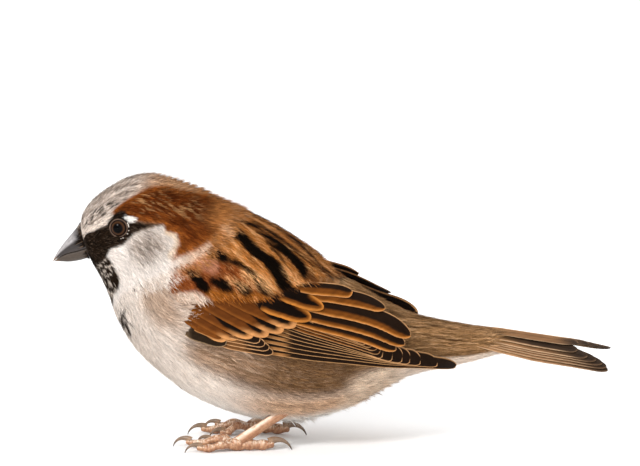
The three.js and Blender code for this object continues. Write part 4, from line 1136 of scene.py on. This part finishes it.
wingFeathers += [  # the alula and the small covert above it
    {"root": (-38.6, 37.0), "tip": (-27.4, 34.0), "width": 4.2, "lift": 1.3, "tilt": 0.25, "paint": darkPaint,
     "tone": "#20160d", "edgeTone": "#8c7357", "outerTip": 0.66, "innerTip": 0.5, "sink": 1.5, "sinkTo": 0.15,
     "rootShare": 0.85, "baseTone": "#4a3a2b"},
    {"root": (-38.4, 39.0), "tip": (-28.6, 35.4), "width": 2.2, "lift": 1.45, "tilt": 0.2, "paint": darkPaint,
     "tone": "#5f3310", "edgeTone": "#9a6c40", "sink": 1.5},
]
greaterCoverts = [  # root, tip, width, where the wedge starts along the feather, its border at the tip
    ((-38.8, 41.0), (-27.4, 35.0), 3.6, 2.0, 0.0), ((-38.4, 42.6), (-24.2, 35.5), 3.8, 0.5, -0.1),
    ((-37.4, 44.6), (-20.2, 36.0), 4.2, 0.25, -0.5), ((-34.6, 46.0), (-16.0, 36.4), 4.5, 0.5, -0.35),
    ((-31.6, 47.0), (-12.0, 37.4), 4.6, 0.4, -0.45), ((-28.2, 47.6), (-8.6, 38.7), 4.6, 0.35, -0.45),
]
for root, tip, width, wedgeFrom, wedge in greaterCoverts:
    wingFeathers.append({"root": root, "tip": tip, "width": width, "outerShare": 0.5, "lift": 1.2, "tilt": 0.35,
                         "paint": covertPaint, "wedgeFrom": wedgeFrom, "wedge": wedge, "outerTip": 0.74,
                         "innerTip": 0.95, "sink": 1.0, "sinkTo": 0.12, "rootShare": 0.9, "droop": 90, "thick": 0.06})
wingFeathers += [
    {"root": (-20.5, 45.8), "tip": (-4.6, 40.3), "width": 5.4, "lift": 1.45, "tilt": 0.4, "paint": ovalPaint,
     "border": 1.35, "outerTip": 0.66, "innerTip": 0.56},
    {"root": (-15.0, 47.8), "tip": (-1.4, 42.6), "width": 5.0, "lift": 1.6, "tilt": 0.4, "paint": ovalPaint,
     "border": 1.5, "outerTip": 0.62, "innerTip": 0.52},
]


def makeWings():
    for label, mirror in (("Left", False), ("Right", True)):
        parts = Parts()
        for i, spec in enumerate(wingFeathers):
            if mirror:
                spec = {**spec, "lift": spec["lift"] + spec.get("farLift", 0.0)}
            wingVane(parts, {**spec, "seed": 100 + i + 50 * mirror, "mirrored": mirror}, (i % 4, i // 4, 4, 9),
                     mirror)
        piece = parts.make("wing" + label, vaneMaterial, useNormals=True)
        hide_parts("wing_" + label.lower())
        print("wing" + label, len(piece.data.polygons), "triangles")


# tail: two halves of six feathers, forked, and rolled a little towards the left

tail = {
    "start": 34.0, "tips": [67.8, 70.6, 73.0, 74.8, 76.0, 76.4], "rootY": (0.9, 4.6), "tipY": (1.9, 8.0),
    "width": 5.6, "ridgeX": [34.0, 46.0, 56.0, 66.0, 76.4], "ridge": [34.4, 33.0, 31.4, 29.9, 28.0],
    "camber": [1.6, 2.2, 2.0, 1.3, 0.7], "roll": [0.08, 0.17, 0.2, 0.18, 0.15], "step": 0.27, "overlap": 0.3,
    "shares": [0, 0.36, 0.47, 0.62, 0.8, 1.0],
}


def tailPaint(u, v, edge, y, spec):
    # brown at its base, darkening to the tip; the outer web is buff, with a pale edge
    colour = flat(v, vaneTones["tailDark"])
    colour = tone(colour, fade(u, *spec["darkening"]) * spec["brown"], vaneTones["tailBrown"])
    colour = tone(colour, fade(u + 0.05 * np.sin(v * 9 + spec["seed"]), 0.27, 0.5), bodyTones["rump"])
    outer = (v < 0) * fade(edge, 0.3, 1.0) * (1 - 0.75 * smooth(u, 0.55, 0.9))
    shaftLine = np.exp(-((v + 0.04) / 0.05) ** 2) * 0.6
    rim = fade(edge, *spec["rim"]) * (1 - 0.85 * smooth(u, 0.86, 0.95))
    return layers(colour, vaneTones, [
        (outer * 0.8, "tailBuff"),
        (shaftLine, "darkest"),
        (rim * np.where(v < 0, 0.85, 0.6), "tailEdge")])


def makeTail():
    parts = Parts()
    for i in range(5, -1, -1):
        share = tail["shares"][i]
        rootY, tipY = mix(*tail["rootY"], share), mix(*tail["tipY"], share)
        end = tail["tips"][i]
        for side in (-1, 1):
            t = np.linspace(0, 1, 60)
            u = 1 - (1 - t) ** 1.4
            x = mix(tail["start"], end, u)

            def at(y):
                ridge, camber, roll = (np.interp(x, tail["ridgeX"], tail[key]) for key in ("ridge", "camber", "roll"))
                z = ridge + roll * side * y - camber * (y / 9) ** 2 - tail["step"] * i + side * tail["overlap"] / 2
                return np.stack([x, side * y, z], -1)

            y0 = mix(rootY, tipY, u)
            p = at(y0)
            forward = unit(np.gradient(p, axis=0))
            outward = unit(at(y0 + 0.2) - at(y0 - 0.2))
            normal = unit(np.cross(forward, outward))
            normal = normal * np.sign(normal[:, 2:3])
            across = np.cross(normal, forward)
            spec = {"u": u, "span": end - tail["start"], "width": tail["width"], "lift": 0.0, "tilt": 0.0,
                    "sink": 0.0, "paint": tailPaint, "seed": 300 + 2 * i + (side > 0), "outerTip": 0.93,
                    "innerTip": 0.83, "droop": 1e6, "rootShare": 0.7, "outerShare": 0.45 - 0.2 * share,
                    "brown": 0.95 if side > 0 else 0.3 if i == 0 else 0.85,
                    "darkening": (0.75, 1.0) if side > 0 else (0.3, 0.7) if i == 0 else (0.5, 0.95),
                    "rim": (0.18, 0.36) if i < 2 else (0.08, 0.22)}
            if (across * outward).sum() > 0:
                # across points outwards on this half, so the feather is turned over its length
                spec["paint"] = lambda u, v, edge, y, spec: tailPaint(u, -v, edge, y, spec)
                spec["outerTip"], spec["innerTip"] = spec["innerTip"], spec["outerTip"]
                spec["outerShare"] = 1 - spec["outerShare"]
            vaneSurface(parts, p, normal, forward, spec, (i % 3, 2 * (i // 3) + (side > 0), 3, 4), False)
    piece = parts.make("tailFeathers", vaneMaterial, useNormals=True)
    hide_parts("tail")
    print("tail", len(piece.data.polygons), "triangles")


# bill

bill = {
    "culmen": [(-69.7, 61.7), (-71.9, 58.9), (-74.3, 55.9), (-76.2, 53.0), (-77.0, 51.1)],
    "mouth": [(-67.6, 55.7), (-70.2, 54.7), (-72.9, 53.8), (-75.2, 52.5), (-76.7, 51.2)],
    "gonys": [(-66.8, 52.6), (-69.4, 51.7), (-72.2, 51.2), (-74.6, 51.2), (-76.2, 51.3)],
    "half": 3.9, "gap": 0.14, "nostril": (-69.9, 58.8), "dark": "#2f2a29", "low": "#41372f", "paintedHighlight": "#b3aeae",
    "tip": "#7a5c40", "edge": "#4a413c", "nostrilShade": "#100d0c", "steps": 60, "sides": 36, "lowerShare": 0.92,
    "nostrilReach": (0.85, 0.5), "nostrilDepth": 0.7,
}


def makeBill():
    steps, sides = bill["steps"], bill["sides"]
    for name, ridge, half, sign, node in (("billUpper", bill["culmen"], bill["half"], 1, "bill_upper"),
                                          ("billLower", bill["gonys"], bill["half"] * bill["lowerShare"], -1,
                                           "bill_lower")):
        t = np.linspace(-0.06, 1, steps)
        edge, peak = alongAll(bill["mouth"], t), alongAll(ridge, t)
        wide = np.maximum(half * np.clip(1 - t, 0, 1) ** 0.9, 0.16)
        a = np.linspace(-np.pi / 2, np.pi / 2, sides)
        rise = np.cos(a) ** 0.85
        x = mix(edge[:, None, 0], peak[:, None, 0], rise)
        z = mix(edge[:, None, 1] + sign * bill["gap"], peak[:, None, 1], rise)
        swell = 1 + 0.04 * np.sin(np.abs(a) * 3)[None, :] * (1 - t)[:, None]
        y = wide[:, None] * np.sin(a) * swell
        shell = np.stack([x, y, z], -1)
        if sign > 0:
            (holeX, holeZ), (reachX, reachZ) = bill["nostril"], bill["nostrilReach"]
            hole = np.exp(-((x - holeX) / reachX) ** 2 - ((z - holeZ) / reachZ) ** 2)
            shell = shell - hole[..., None] * bill["nostrilDepth"] * np.sign(y)[..., None] * np.array([0, 1, 0])
        floor = np.stack([edge[:, 0], np.zeros(steps), edge[:, 1] + sign * bill["gap"]], -1)[:, None]
        ring = np.concatenate([shell, floor], 1)
        count = ring.shape[1]
        tt = np.broadcast_to(t[:, None], (steps, count))
        rr = np.concatenate([np.broadcast_to(rise, (steps, sides)), np.zeros((steps, 1))], 1)
        colours = flat(tt, bill["dark"] if sign > 0 else bill["low"])
        if sign > 0:
            # a painted highlight: a pale streak along the ridge's flank, standing in for the horn's sheen
            paintedHighlight = smooth(rr, 0.5, 0.72) * (1 - smooth(rr, 0.975, 1.0) * 0.6)
            paintedHighlight = paintedHighlight * smooth(tt, 0.04, 0.3) * fade(tt, 0.8, 0.97)
            paintedHighlight = paintedHighlight * (0.5 + 0.5 * cloud(rr * 14 + tt * 3, tt * 5, 2))
            colours = layers(colours, bill, [
                (paintedHighlight * 0.8, "paintedHighlight"),
                # the nostril's hollow is painted near black as painted shade
                (np.concatenate([hole, np.zeros((steps, 1))], 1) ** 2, "nostrilShade")])
        colours = layers(colours, bill, [
            (smooth(tt, 0.72, 0.95) * 0.8, "tip"),
            (fade(rr, 0.02, 0.2) * 0.45, "edge")])
        faces = tubeFaces(steps, count, -1)
        patch = np.stack([0.05 + 0.9 * tt, 0.05 + 0.9 * np.broadcast_to(np.arange(count) / count, tt.shape)], -1)
        points = ring.reshape(-1, 3)
        piece = addMesh(name, points, faces if sign > 0 else faces[:, ::-1], hornMaterial, colours.reshape(-1, 3),
                        patch.reshape(-1, 2))
        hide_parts(node)


bristle = {"count": 260, "width": 0.13, "black": "#150e09", "brown": "#5a4a3d", "pale": "#a8988b"}


def makeBristles():
    # short stiff feathers that point forward over the bill's base and its nostrils
    for label, mirror in (("Left", False), ("Right", True)):
        rng = np.random.default_rng(61 + mirror)
        parts = Parts()
        for _ in range(bristle["count"]):
            upper = rng.random() < 0.8
            a = -rng.uniform(0.25, 1.5) if upper else -rng.uniform(0.2, 1.45)
            t0 = rng.uniform(-0.08, 0.0)
            span = rng.uniform(0.05, 0.13) + 0.22 * rng.random() ** 1.5 * math.exp(-((a + 1.25) / 0.4) ** 2)
            ridge, half, sign = bill["gonys"], bill["half"] * bill["lowerShare"], -1
            if upper:
                ridge, half, sign = bill["culmen"], bill["half"], 1
            t = np.array([t0, t0 + span * 0.55, t0 + span])
            turn = a + np.array([0, 0.02, 0.05]) * rng.normal(0.6, 1.0)
            edge, peak = alongAll(bill["mouth"], t), alongAll(ridge, t)
            rise = np.cos(turn) ** 0.85
            wide = half * np.clip(1 - t, 0, 1) ** 0.9
            out = np.array([0.1, 0.3, 0.18]) + rng.uniform(0, 0.15)
            p = np.stack([mix(edge[:, 0], peak[:, 0], rise), wide * np.sin(turn),
                          mix(edge[:, 1], peak[:, 1], rise)], -1)
            facing = np.stack([0 * t, np.sin(turn), np.cos(turn) * sign], -1)
            p = p + facing * out[:, None]
            across = unit(np.cross(p[2] - p[0], facing[0])) * bristle["width"] / 2 * rng.uniform(0.7, 1.3)
            points = np.array([p[0] - across, p[0] + across, p[1] - across * 0.9, p[1] + across * 0.9, p[2]])
            top = upper and a > -0.6
            shade = linear(bristle["pale"] if top and rng.random() < 0.6 else bristle["black"])
            if rng.random() < 0.15:
                shade = linear(bristle["brown"])
            parts.add(points * np.array([1, 1 - 2 * mirror, 1]), [[0, 1, 3], [0, 3, 2], [2, 3, 4]],
                      shade * rng.uniform(0.7, 1.3), (0.1, 0.4 if mirror else 0.6))
        piece = parts.make("bristles" + label, featherMaterial)


# eyes

eye = {"x": -57.9, "z": 63.1, "ball": 3.0, "opening": 2.35, "forward": 0.22, "upward": 0.1, "pupil": 1.3,
       "iris": "#20140c", "irisPale": "#452b19", "pupilTone": "#030202", "lid": "#574539", "lidShade": "#150e0a",
       "steps": (60, 64), "irisRing": (1.75, 2.0), "socket": (1.95, 2.15), "socketShade": "#0d0806",
       "lidSteps": (120, 20), "lidRadius": 2.48, "lidHalf": (0.3, 0.26), "lidSunk": -0.12, "lidOval": 0.97,
       "tipTone": "#e0d3c6", "tipsOut": 3.0}
# white feather tips round the lid: the angle in degrees and the size
eyeTips = [(150, 0.34), (160, 0.4), (169, 0.3), (190, 0.3), (208, 0.34), (226, 0.3), (242, 0.28), (254, 0.24)]


def eyeFrame():
    s, a = np.meshgrid(np.linspace(2, 6, 240), np.linspace(0.6, 2.0, 240), indexing="ij")
    p = plumage(s, a)
    off = (p[..., 0] - eye["x"]) ** 2 + (p[..., 2] - eye["z"]) ** 2
    surface = p.reshape(-1, 3)[off.argmin()]
    out = unit(np.array([-eye["forward"], -1.0, eye["upward"]]))
    rim = surface + out * 0.25
    sideways = unit(np.cross(out, np.array([0, 0, 1.0])))
    return rim, out, sideways, np.cross(sideways, out)


def makeEyes():
    rim, out, right, up = eyeFrame()
    depth = math.sqrt(eye["ball"] ** 2 - eye["opening"] ** 2)
    centre = rim - out * depth
    irisMaterial = surfaceMaterial("eyeGlobe", {"Roughness": 0.04, "IOR": 1.376, "Specular IOR Level": 0.07},
                                   2200.0, (0.5, 0.000002), (0.8, 1.2))
    rings, sides = eye["steps"]
    polar = np.linspace(0, np.pi, rings)
    for label, mirror in (("left", False), ("right", True)):
        turn = circle(sides)
        r = eye["ball"] * np.sin(polar)[:, None]
        ball = centre + out * (eye["ball"] * np.cos(polar))[:, None, None] * np.ones((1, sides, 1))
        ball = ball + right * (r * np.cos(turn))[..., None] + up * (r * np.sin(turn))[..., None]
        radial = np.broadcast_to(r, (rings, sides))
        front = np.broadcast_to(np.cos(polar)[:, None] > 0, radial.shape)
        colours = flat(radial, eye["iris"])
        colours = layers(colours, eye, [
            (smooth(radial, eye["pupil"], eye["pupil"] + 0.35) * fade(radial, *eye["irisRing"]) * 0.6, "irisPale"),
            (fade(radial, eye["pupil"] - 0.12, eye["pupil"] + 0.12), "pupilTone"),
            # the ball beyond the opening, hidden in the socket, is painted near black as painted shade
            (np.where(front, smooth(radial, *eye["socket"]), 1.0), "socketShade")])
        points, faces = mirrored(ball.reshape(-1, 3), gridFaces(rings, sides, closed=True), mirror)
        patch = np.stack([np.repeat(np.linspace(0.02, 0.98, rings), sides),
                          np.tile(turn / fullTurn * 0.96 + 0.02, rings)], -1)
        piece = addMesh("eye" + label.capitalize(), points, faces, irisMaterial, colours.reshape(-1, 3), patch)
        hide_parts("eye_" + label)
        # the lid: a ring of small beads of bare skin round the opening
        parts = Parts()
        steps, around = eye["lidSteps"]
        theta, phi = circle(steps), circle(around)
        bead = 1 + 0.03 * np.sin(theta * 37)[:, None] + 0.03 * np.sin(theta * 11 + 2)[:, None]
        major = eye["lidRadius"] + eye["lidHalf"][0] * np.cos(phi)[None, :] * bead
        height = eye["lidSunk"] + eye["lidHalf"][1] * np.sin(phi)[None, :] * bead
        lid = rim + out * height[..., None] + right * (major * np.cos(theta)[:, None])[..., None]
        lid = lid + up * (major * eye["lidOval"] * np.sin(theta)[:, None])[..., None]
        inwardness = np.broadcast_to(np.cos(phi)[None, :], (steps, around))
        colours = flat(inwardness, eye["lid"])
        # the lid's sides that turn in to the eye and down into the feathers are darkened as painted shade
        colours = tone(colours, smooth(np.abs(inwardness), 0.35, 0.8), eye["lidShade"])
        colours = colours * (0.9 + 0.2 * np.sin(theta * 5 + 1))[:, None, None]
        patch = np.stack([np.repeat(theta / fullTurn * 0.96 + 0.02, around),
                          np.tile(phi / fullTurn * 0.96 + 0.02, steps)], -1)
        points = lid.reshape(-1, 3)
        faces = gridFaces(steps, around, closed=True, ringed=True)
        parts.add(*mirrored(points, faces, mirror), colours.reshape(-1, 3), patch)
        # tiny white feather tips round the lid's lower rear edge
        rng = np.random.default_rng(4)
        for angle, size in eyeTips:
            angle = math.radians(angle)
            way = right * math.cos(angle) + up * math.sin(angle)
            middle = rim + way * eye["tipsOut"] + out * 0.2
            ring = circle(10)
            dot = middle + way * (np.cos(ring) * size * 0.55)[:, None]
            dot = dot + np.cross(way, out) * (np.sin(ring) * size * 0.45)[:, None]
            dot = np.concatenate([[middle + out * size * 0.4], dot])
            fan = [[0, 1 + k, 1 + (k + 1) % 10] for k in range(10)]
            parts.add(dot * np.array([1, 1 - 2 * mirror, 1]), fan, linear(eye["tipTone"]) * rng.uniform(0.7, 1.0),
                      (0.5, 0.5))
        piece = parts.make("eyelid" + label.capitalize(), lidMaterial)


# legs

leg = {"ankle": (-8.4, -9.8, 14.9), "hub": (-25.6, -9.3, 2.9), "radius": 1.4, "flatten": 0.74, "hubRadius": 1.9,
       "tone": "#b78a66", "dark": "#6b4029", "red": "#8f593b", "pale": "#ecdcc9", "claw": "#76604d",
       "clawTip": "#362619", "clawBase": "#8a6b50", "tarsusSteps": 150, "hubSteps": 30, "toeSteps": 110,
       "clawSteps": 60, "clawSides": 18, "clawSlope": (-0.55, 1.35), "farBy": (2.9, 2.3, 0.0)}
toes = [  # name, the joints from the hub and above the floor, the half width, the claw's length
    ("hind", [(0.6, 0.1, 1.6), (3.6, 0.5, 1.7), (7, 1, 1.5), (10.2, 1.4, 1.8)], 1.5, 6.2),
    ("middle", [(-1.2, 0.2, 1.6), (-5.4, 1, 2.9), (-10, 2, 1.3), (-14.2, 2.8, 1.7)], 1.2, 5.0),
    ("inner", [(-0.8, 1, 1.6), (-4.0, 3.3, 2.8), (-6.6, 4.8, 1.3), (-8.8, 5.8, 1.5)], 1.1, 4.4),
    ("outer", [(-0.8, -0.6, 1.5), (-4, -1.8, 1.9), (-7.4, -2.8, 1.2), (-10.8, -3.4, 1.5)], 1.1, 4.6),
]


def tube(centres, radii, sides, flatten=1.0, floor=None):
    # rings round a line of points; radii has one value for each ring and side
    d = unit(np.gradient(centres, axis=0))
    wide = unit(np.cross(np.array([0, 0, 1.0]), d))
    high = np.cross(d, wide)
    a = circle(sides, 0.5)
    ring = centres[:, None] + wide[:, None] * (radii * flatten * np.cos(a))[..., None]
    ring = ring + high[:, None] * (radii * np.sin(a))[..., None]
    if floor is not None:
        ring[..., 2] = np.maximum(ring[..., 2], floor)
    return ring.reshape(-1, 3), tubeFaces(len(centres), sides), a


def scaly(parts, centres, radius, sides, pitch, depth, flatten, cell, move, grooves, flakesAndHighlight=0.7, drawn=1.0):
    # overlapping scutes on the upper side, small round scales below
    length = np.concatenate([[0], np.cumsum(np.linalg.norm(np.diff(centres, axis=0), axis=-1))])
    count = length / pitch + 0.3 * np.sin(length / pitch * 2.3 + cell[0])
    phase = count % 1
    a = circle(sides, 0.5)
    upper = smooth(np.sin(a), -0.3, 0.3)
    saw = (phase[:, None] - 0.5) * depth * upper
    pebble = 0.35 * depth * np.sin(length / pitch * 4 * np.pi)[:, None] * np.sin(a * 7)[None] * (1 - upper)
    radii = radius[:, None] + saw + pebble
    points, faces, _ = tube(centres, radii, sides, flatten, drawing["floor"])
    groove = smooth(phase, 0.86, 0.98)[:, None] * upper + fade(phase, 0.0, 0.08)[:, None] * upper
    colours = flat(radii, leg["tone"])
    # every scute has its own shade, a pale crest on its upper side that is partly dry flakes and partly a painted
    # highlight, and a dark red-brown gap before the next that is partly the skin's colour and partly painted shade in
    # the groove
    own = np.sin(np.floor(count) * 12.9898) * 43758.5453 % 1
    colours = colours * (0.9 + 0.16 * own)[:, None, None]
    blotch = cloud(count[:, None] * 0.8 + 0 * a, a[None] * 2.2, cell[0] + 3)
    crest = mix(1.0, smooth(phase, 0.2, 0.6) * fade(phase, 0.85, 0.96), grooves)[:, None]
    crest = crest * smooth(np.sin(a), -0.1, 0.8)
    flakes = cloud(length[:, None] * 2.2 / drawn + 0 * a, a[None] * 4.5, cell[0] + 9)
    colours = layers(colours, leg, [
        (smooth(0.6 - blotch, 0, 0.35) * 0.5, "red"),
        (crest * smooth(0.4 * blotch + 0.6 * flakes, 0.4, 0.54) * flakesAndHighlight, "pale"),
        (smooth(0.36 - flakes, 0, 0.2) * 0.5, "dark"),
        (groove * grooves, "dark"),
        # the underside is darkened as painted shade
        ((1 - upper)[None] * (0.4 + 0.3 * grooves * np.sin(length * 5)[:, None]), "dark")])
    patch = np.stack([(cell[0] + 0.05 + 0.9 * np.broadcast_to(length[:, None] / length[-1], radii.shape)) / 4,
                      (cell[1] + 0.05 + 0.9 * np.broadcast_to(a / fullTurn, radii.shape)) / 4], -1)
    points, faces = move(points, faces)
    parts.add(points, faces, colours.reshape(-1, 3), patch.reshape(-1, 2))


def makeLegs():
    hub, ankle = np.array(leg["hub"]), np.array(leg["ankle"])
    for label, mirror in (("left", False), ("right", True)):
        def move(points, faces):
            points, faces = mirrored(points, faces[:, ::-1], mirror)
            return points + np.array(leg["farBy"]) * mirror, faces

        parts = Parts()
        t = np.linspace(-0.1, 1.0, leg["tarsusSteps"])
        centres = ankle + (hub - ankle) * t[:, None]
        radius = leg["radius"] * (1 + 0.2 * (2 * np.clip(t, 0, 1) - 1) ** 2) * (1 - 0.05 * smooth(-t, 0, 0.1))
        scaly(parts, centres, radius, 28, 2.8, 0.02, leg["flatten"], (0, 0), move, grooves=0.12, flakesAndHighlight=0.75, drawn=5.0)
        names = [f"tarsus_{label}"]
        # the joint where the toes meet
        t = np.linspace(0, 1, leg["hubSteps"])
        radius = leg["hubRadius"] * np.sqrt(np.clip(1 - (2 * t - 1) ** 2, 0.01, 1))
        centres = np.stack([hub[0] + (t * 2 - 1) * leg["hubRadius"] * 1.1, np.full(t.shape, hub[1]),
                            np.full(t.shape, drawing["floor"] + leg["hubRadius"])], -1)
        scaly(parts, centres, radius, 28, 0.8, 0.06, 1.0, (1, 0), move, grooves=0.6)
        claws = Parts()
        for i, (name, joints, thick, claw) in enumerate(toes):
            rows = np.array(joints) + np.array([hub[0], hub[1], drawing["floor"]])
            t = np.linspace(0, 1, leg["toeSteps"])
            centres = alongAll(rows, t)
            pads = 1 + 0.1 * np.cos(np.pi * t * (len(rows) - 1) * 2)
            ends = (1 - 0.2 * smooth(t, 0.7, 1.0)) * np.sqrt(1 - np.clip((t - 0.9) / 0.1, 0, 1) ** 2 * 0.85)
            scaly(parts, centres, thick * pads * mix(1.04, 0.86, t) * ends, 24, 0.7, 0.05, 1.0, (i, 1), move,
                  grooves=0.65)
            end, before = rows[-1], rows[-2]
            heading = unit(np.array([end[0] - before[0], end[1] - before[1], 0.0]))
            first, last = leg["clawSlope"]
            size = claw / (math.sin(last) - math.sin(first))
            slope, share = np.linspace(first, last, leg["clawSteps"]), np.linspace(0, 1, leg["clawSteps"])
            reach = size * (np.sin(slope) - math.sin(first)) - 1.3
            z = end[2] + thick * 0.35 + size * (np.cos(slope) - math.cos(first))
            centres = np.stack([end[0] + heading[0] * reach, end[1] + heading[1] * reach,
                                np.maximum(z, drawing["floor"] + 0.12)], -1)
            sides = leg["clawSides"]
            radii = np.broadcast_to(mix(thick * 0.85, 0.07, share ** 0.8)[:, None], (len(share), sides))
            points, faces, a = tube(centres, radii, sides, 0.75, drawing["floor"])
            colours = flat(radii, leg["claw"])
            colours = layers(colours, leg, [
                (fade(share, 0.0, 0.3)[:, None] * np.ones(sides), "clawBase"),
                (smooth(share, 0.6, 0.95)[:, None] * np.ones(sides), "clawTip")])
            patch = np.stack([(i + 0.05 + 0.9 * np.broadcast_to(share[:, None], radii.shape)) / 4,
                              0.05 + 0.9 * np.broadcast_to(a / fullTurn, radii.shape)], -1)
            points, faces = move(points, faces)
            claws.add(points, faces, colours.reshape(-1, 3), patch.reshape(-1, 2))
            names.append(f"toe_{label}_{name}")
        piece = parts.make("leg" + label.capitalize(), scaleMaterial)
        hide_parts(*names)
        piece = claws.make("claws" + label.capitalize(), clawMaterial)
        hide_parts(*[f"claw_{label}_{toe[0]}" for toe in toes])


makeSkin()
print("skin made")
makeCoats()
makeWings()
makeTail()
print("feathers made")
makeBill()
makeBristles()
makeEyes()
makeLegs()
print("bill, eyes and legs made")


# floor, light and camera


def makeFloor():
    look = {"Base Color": (*linear("#fbfbfb"), 1.0), "Roughness": 0.9, "Specular IOR Level": 0.1}
    material = newMaterial("paleFloor", look)[0]
    size = 3.0
    mesh = bpy.data.meshes.new("floor")
    mesh.from_pydata([(-size, -size, 0), (size, -size, 0), (size, size, 0), (-size, size, 0)], [], [(0, 1, 2, 3)])
    mesh.materials.append(material)
    floor = bpy.data.objects.new("floor", mesh)
    bpy.context.scene.collection.objects.link(floor)


lights = [  # name, place, size, watts
    ("keyLight", (-0.75, -0.95, 0.85), 0.36, 16.0),
    ("fillLight", (0.35, -1.25, 0.12), 1.6, 9.8),
    ("topLight", (0.1, 0.1, 1.25), 1.0, 6.0),
]


def makeLights():
    target = Vector((-0.01, 0, 0.04))
    for name, place, size, watts in lights:
        lamp = bpy.data.lights.new(name, "AREA")
        lamp.shape, lamp.size, lamp.energy = "DISK", size, watts
        holder = bpy.data.objects.new(name, lamp)
        holder.location = place
        holder.rotation_mode = "QUATERNION"
        holder.rotation_quaternion = (target - Vector(place)).to_track_quat("-Z", "Y")
        bpy.context.scene.collection.objects.link(holder)
    world = bpy.data.worlds.new("studio")
    world.use_nodes = True
    world.node_tree.nodes["Background"].inputs["Color"].default_value = (1.0, 1.0, 1.0, 1.0)
    world.node_tree.nodes["Background"].inputs["Strength"].default_value = 0.8
    bpy.context.scene.world = world


camera = {"azimuth": 4.0, "elevation": 13.0, "distance": 4.0, "frameWidth": 176.0, "right": -3.3, "up": 58.85,
          "depth": -9.0, "sensor": 36.0}


def makeCamera():
    az, el = math.radians(camera["azimuth"]), math.radians(camera["elevation"])
    right = np.array([math.cos(az), math.sin(az), 0])
    level = np.array([-math.sin(az), math.cos(az), 0])
    into = level * math.cos(el) + np.array([0, 0, -math.sin(el)])
    up = level * math.sin(el) + np.array([0, 0, math.cos(el)])
    target = toFrame(right * camera["right"] + up * camera["up"] + into * camera["depth"])
    data = bpy.data.cameras.new("camera")
    data.sensor_width = camera["sensor"]
    data.lens = camera["sensor"] * camera["distance"] * 1000 / camera["frameWidth"]
    data.clip_start, data.clip_end = 0.1, 30
    holder = bpy.data.objects.new("camera", data)
    holder.location = Vector(target - into * camera["distance"])
    holder.rotation_mode = "QUATERNION"
    holder.rotation_quaternion = Vector(into).to_track_quat("-Z", "Y")
    bpy.context.scene.collection.objects.link(holder)
    bpy.context.scene.camera = holder
    bpy.context.scene.view_settings.view_transform = "Standard"


makeFloor()
makeLights()
makeCamera()
print("floor, light and camera ready")
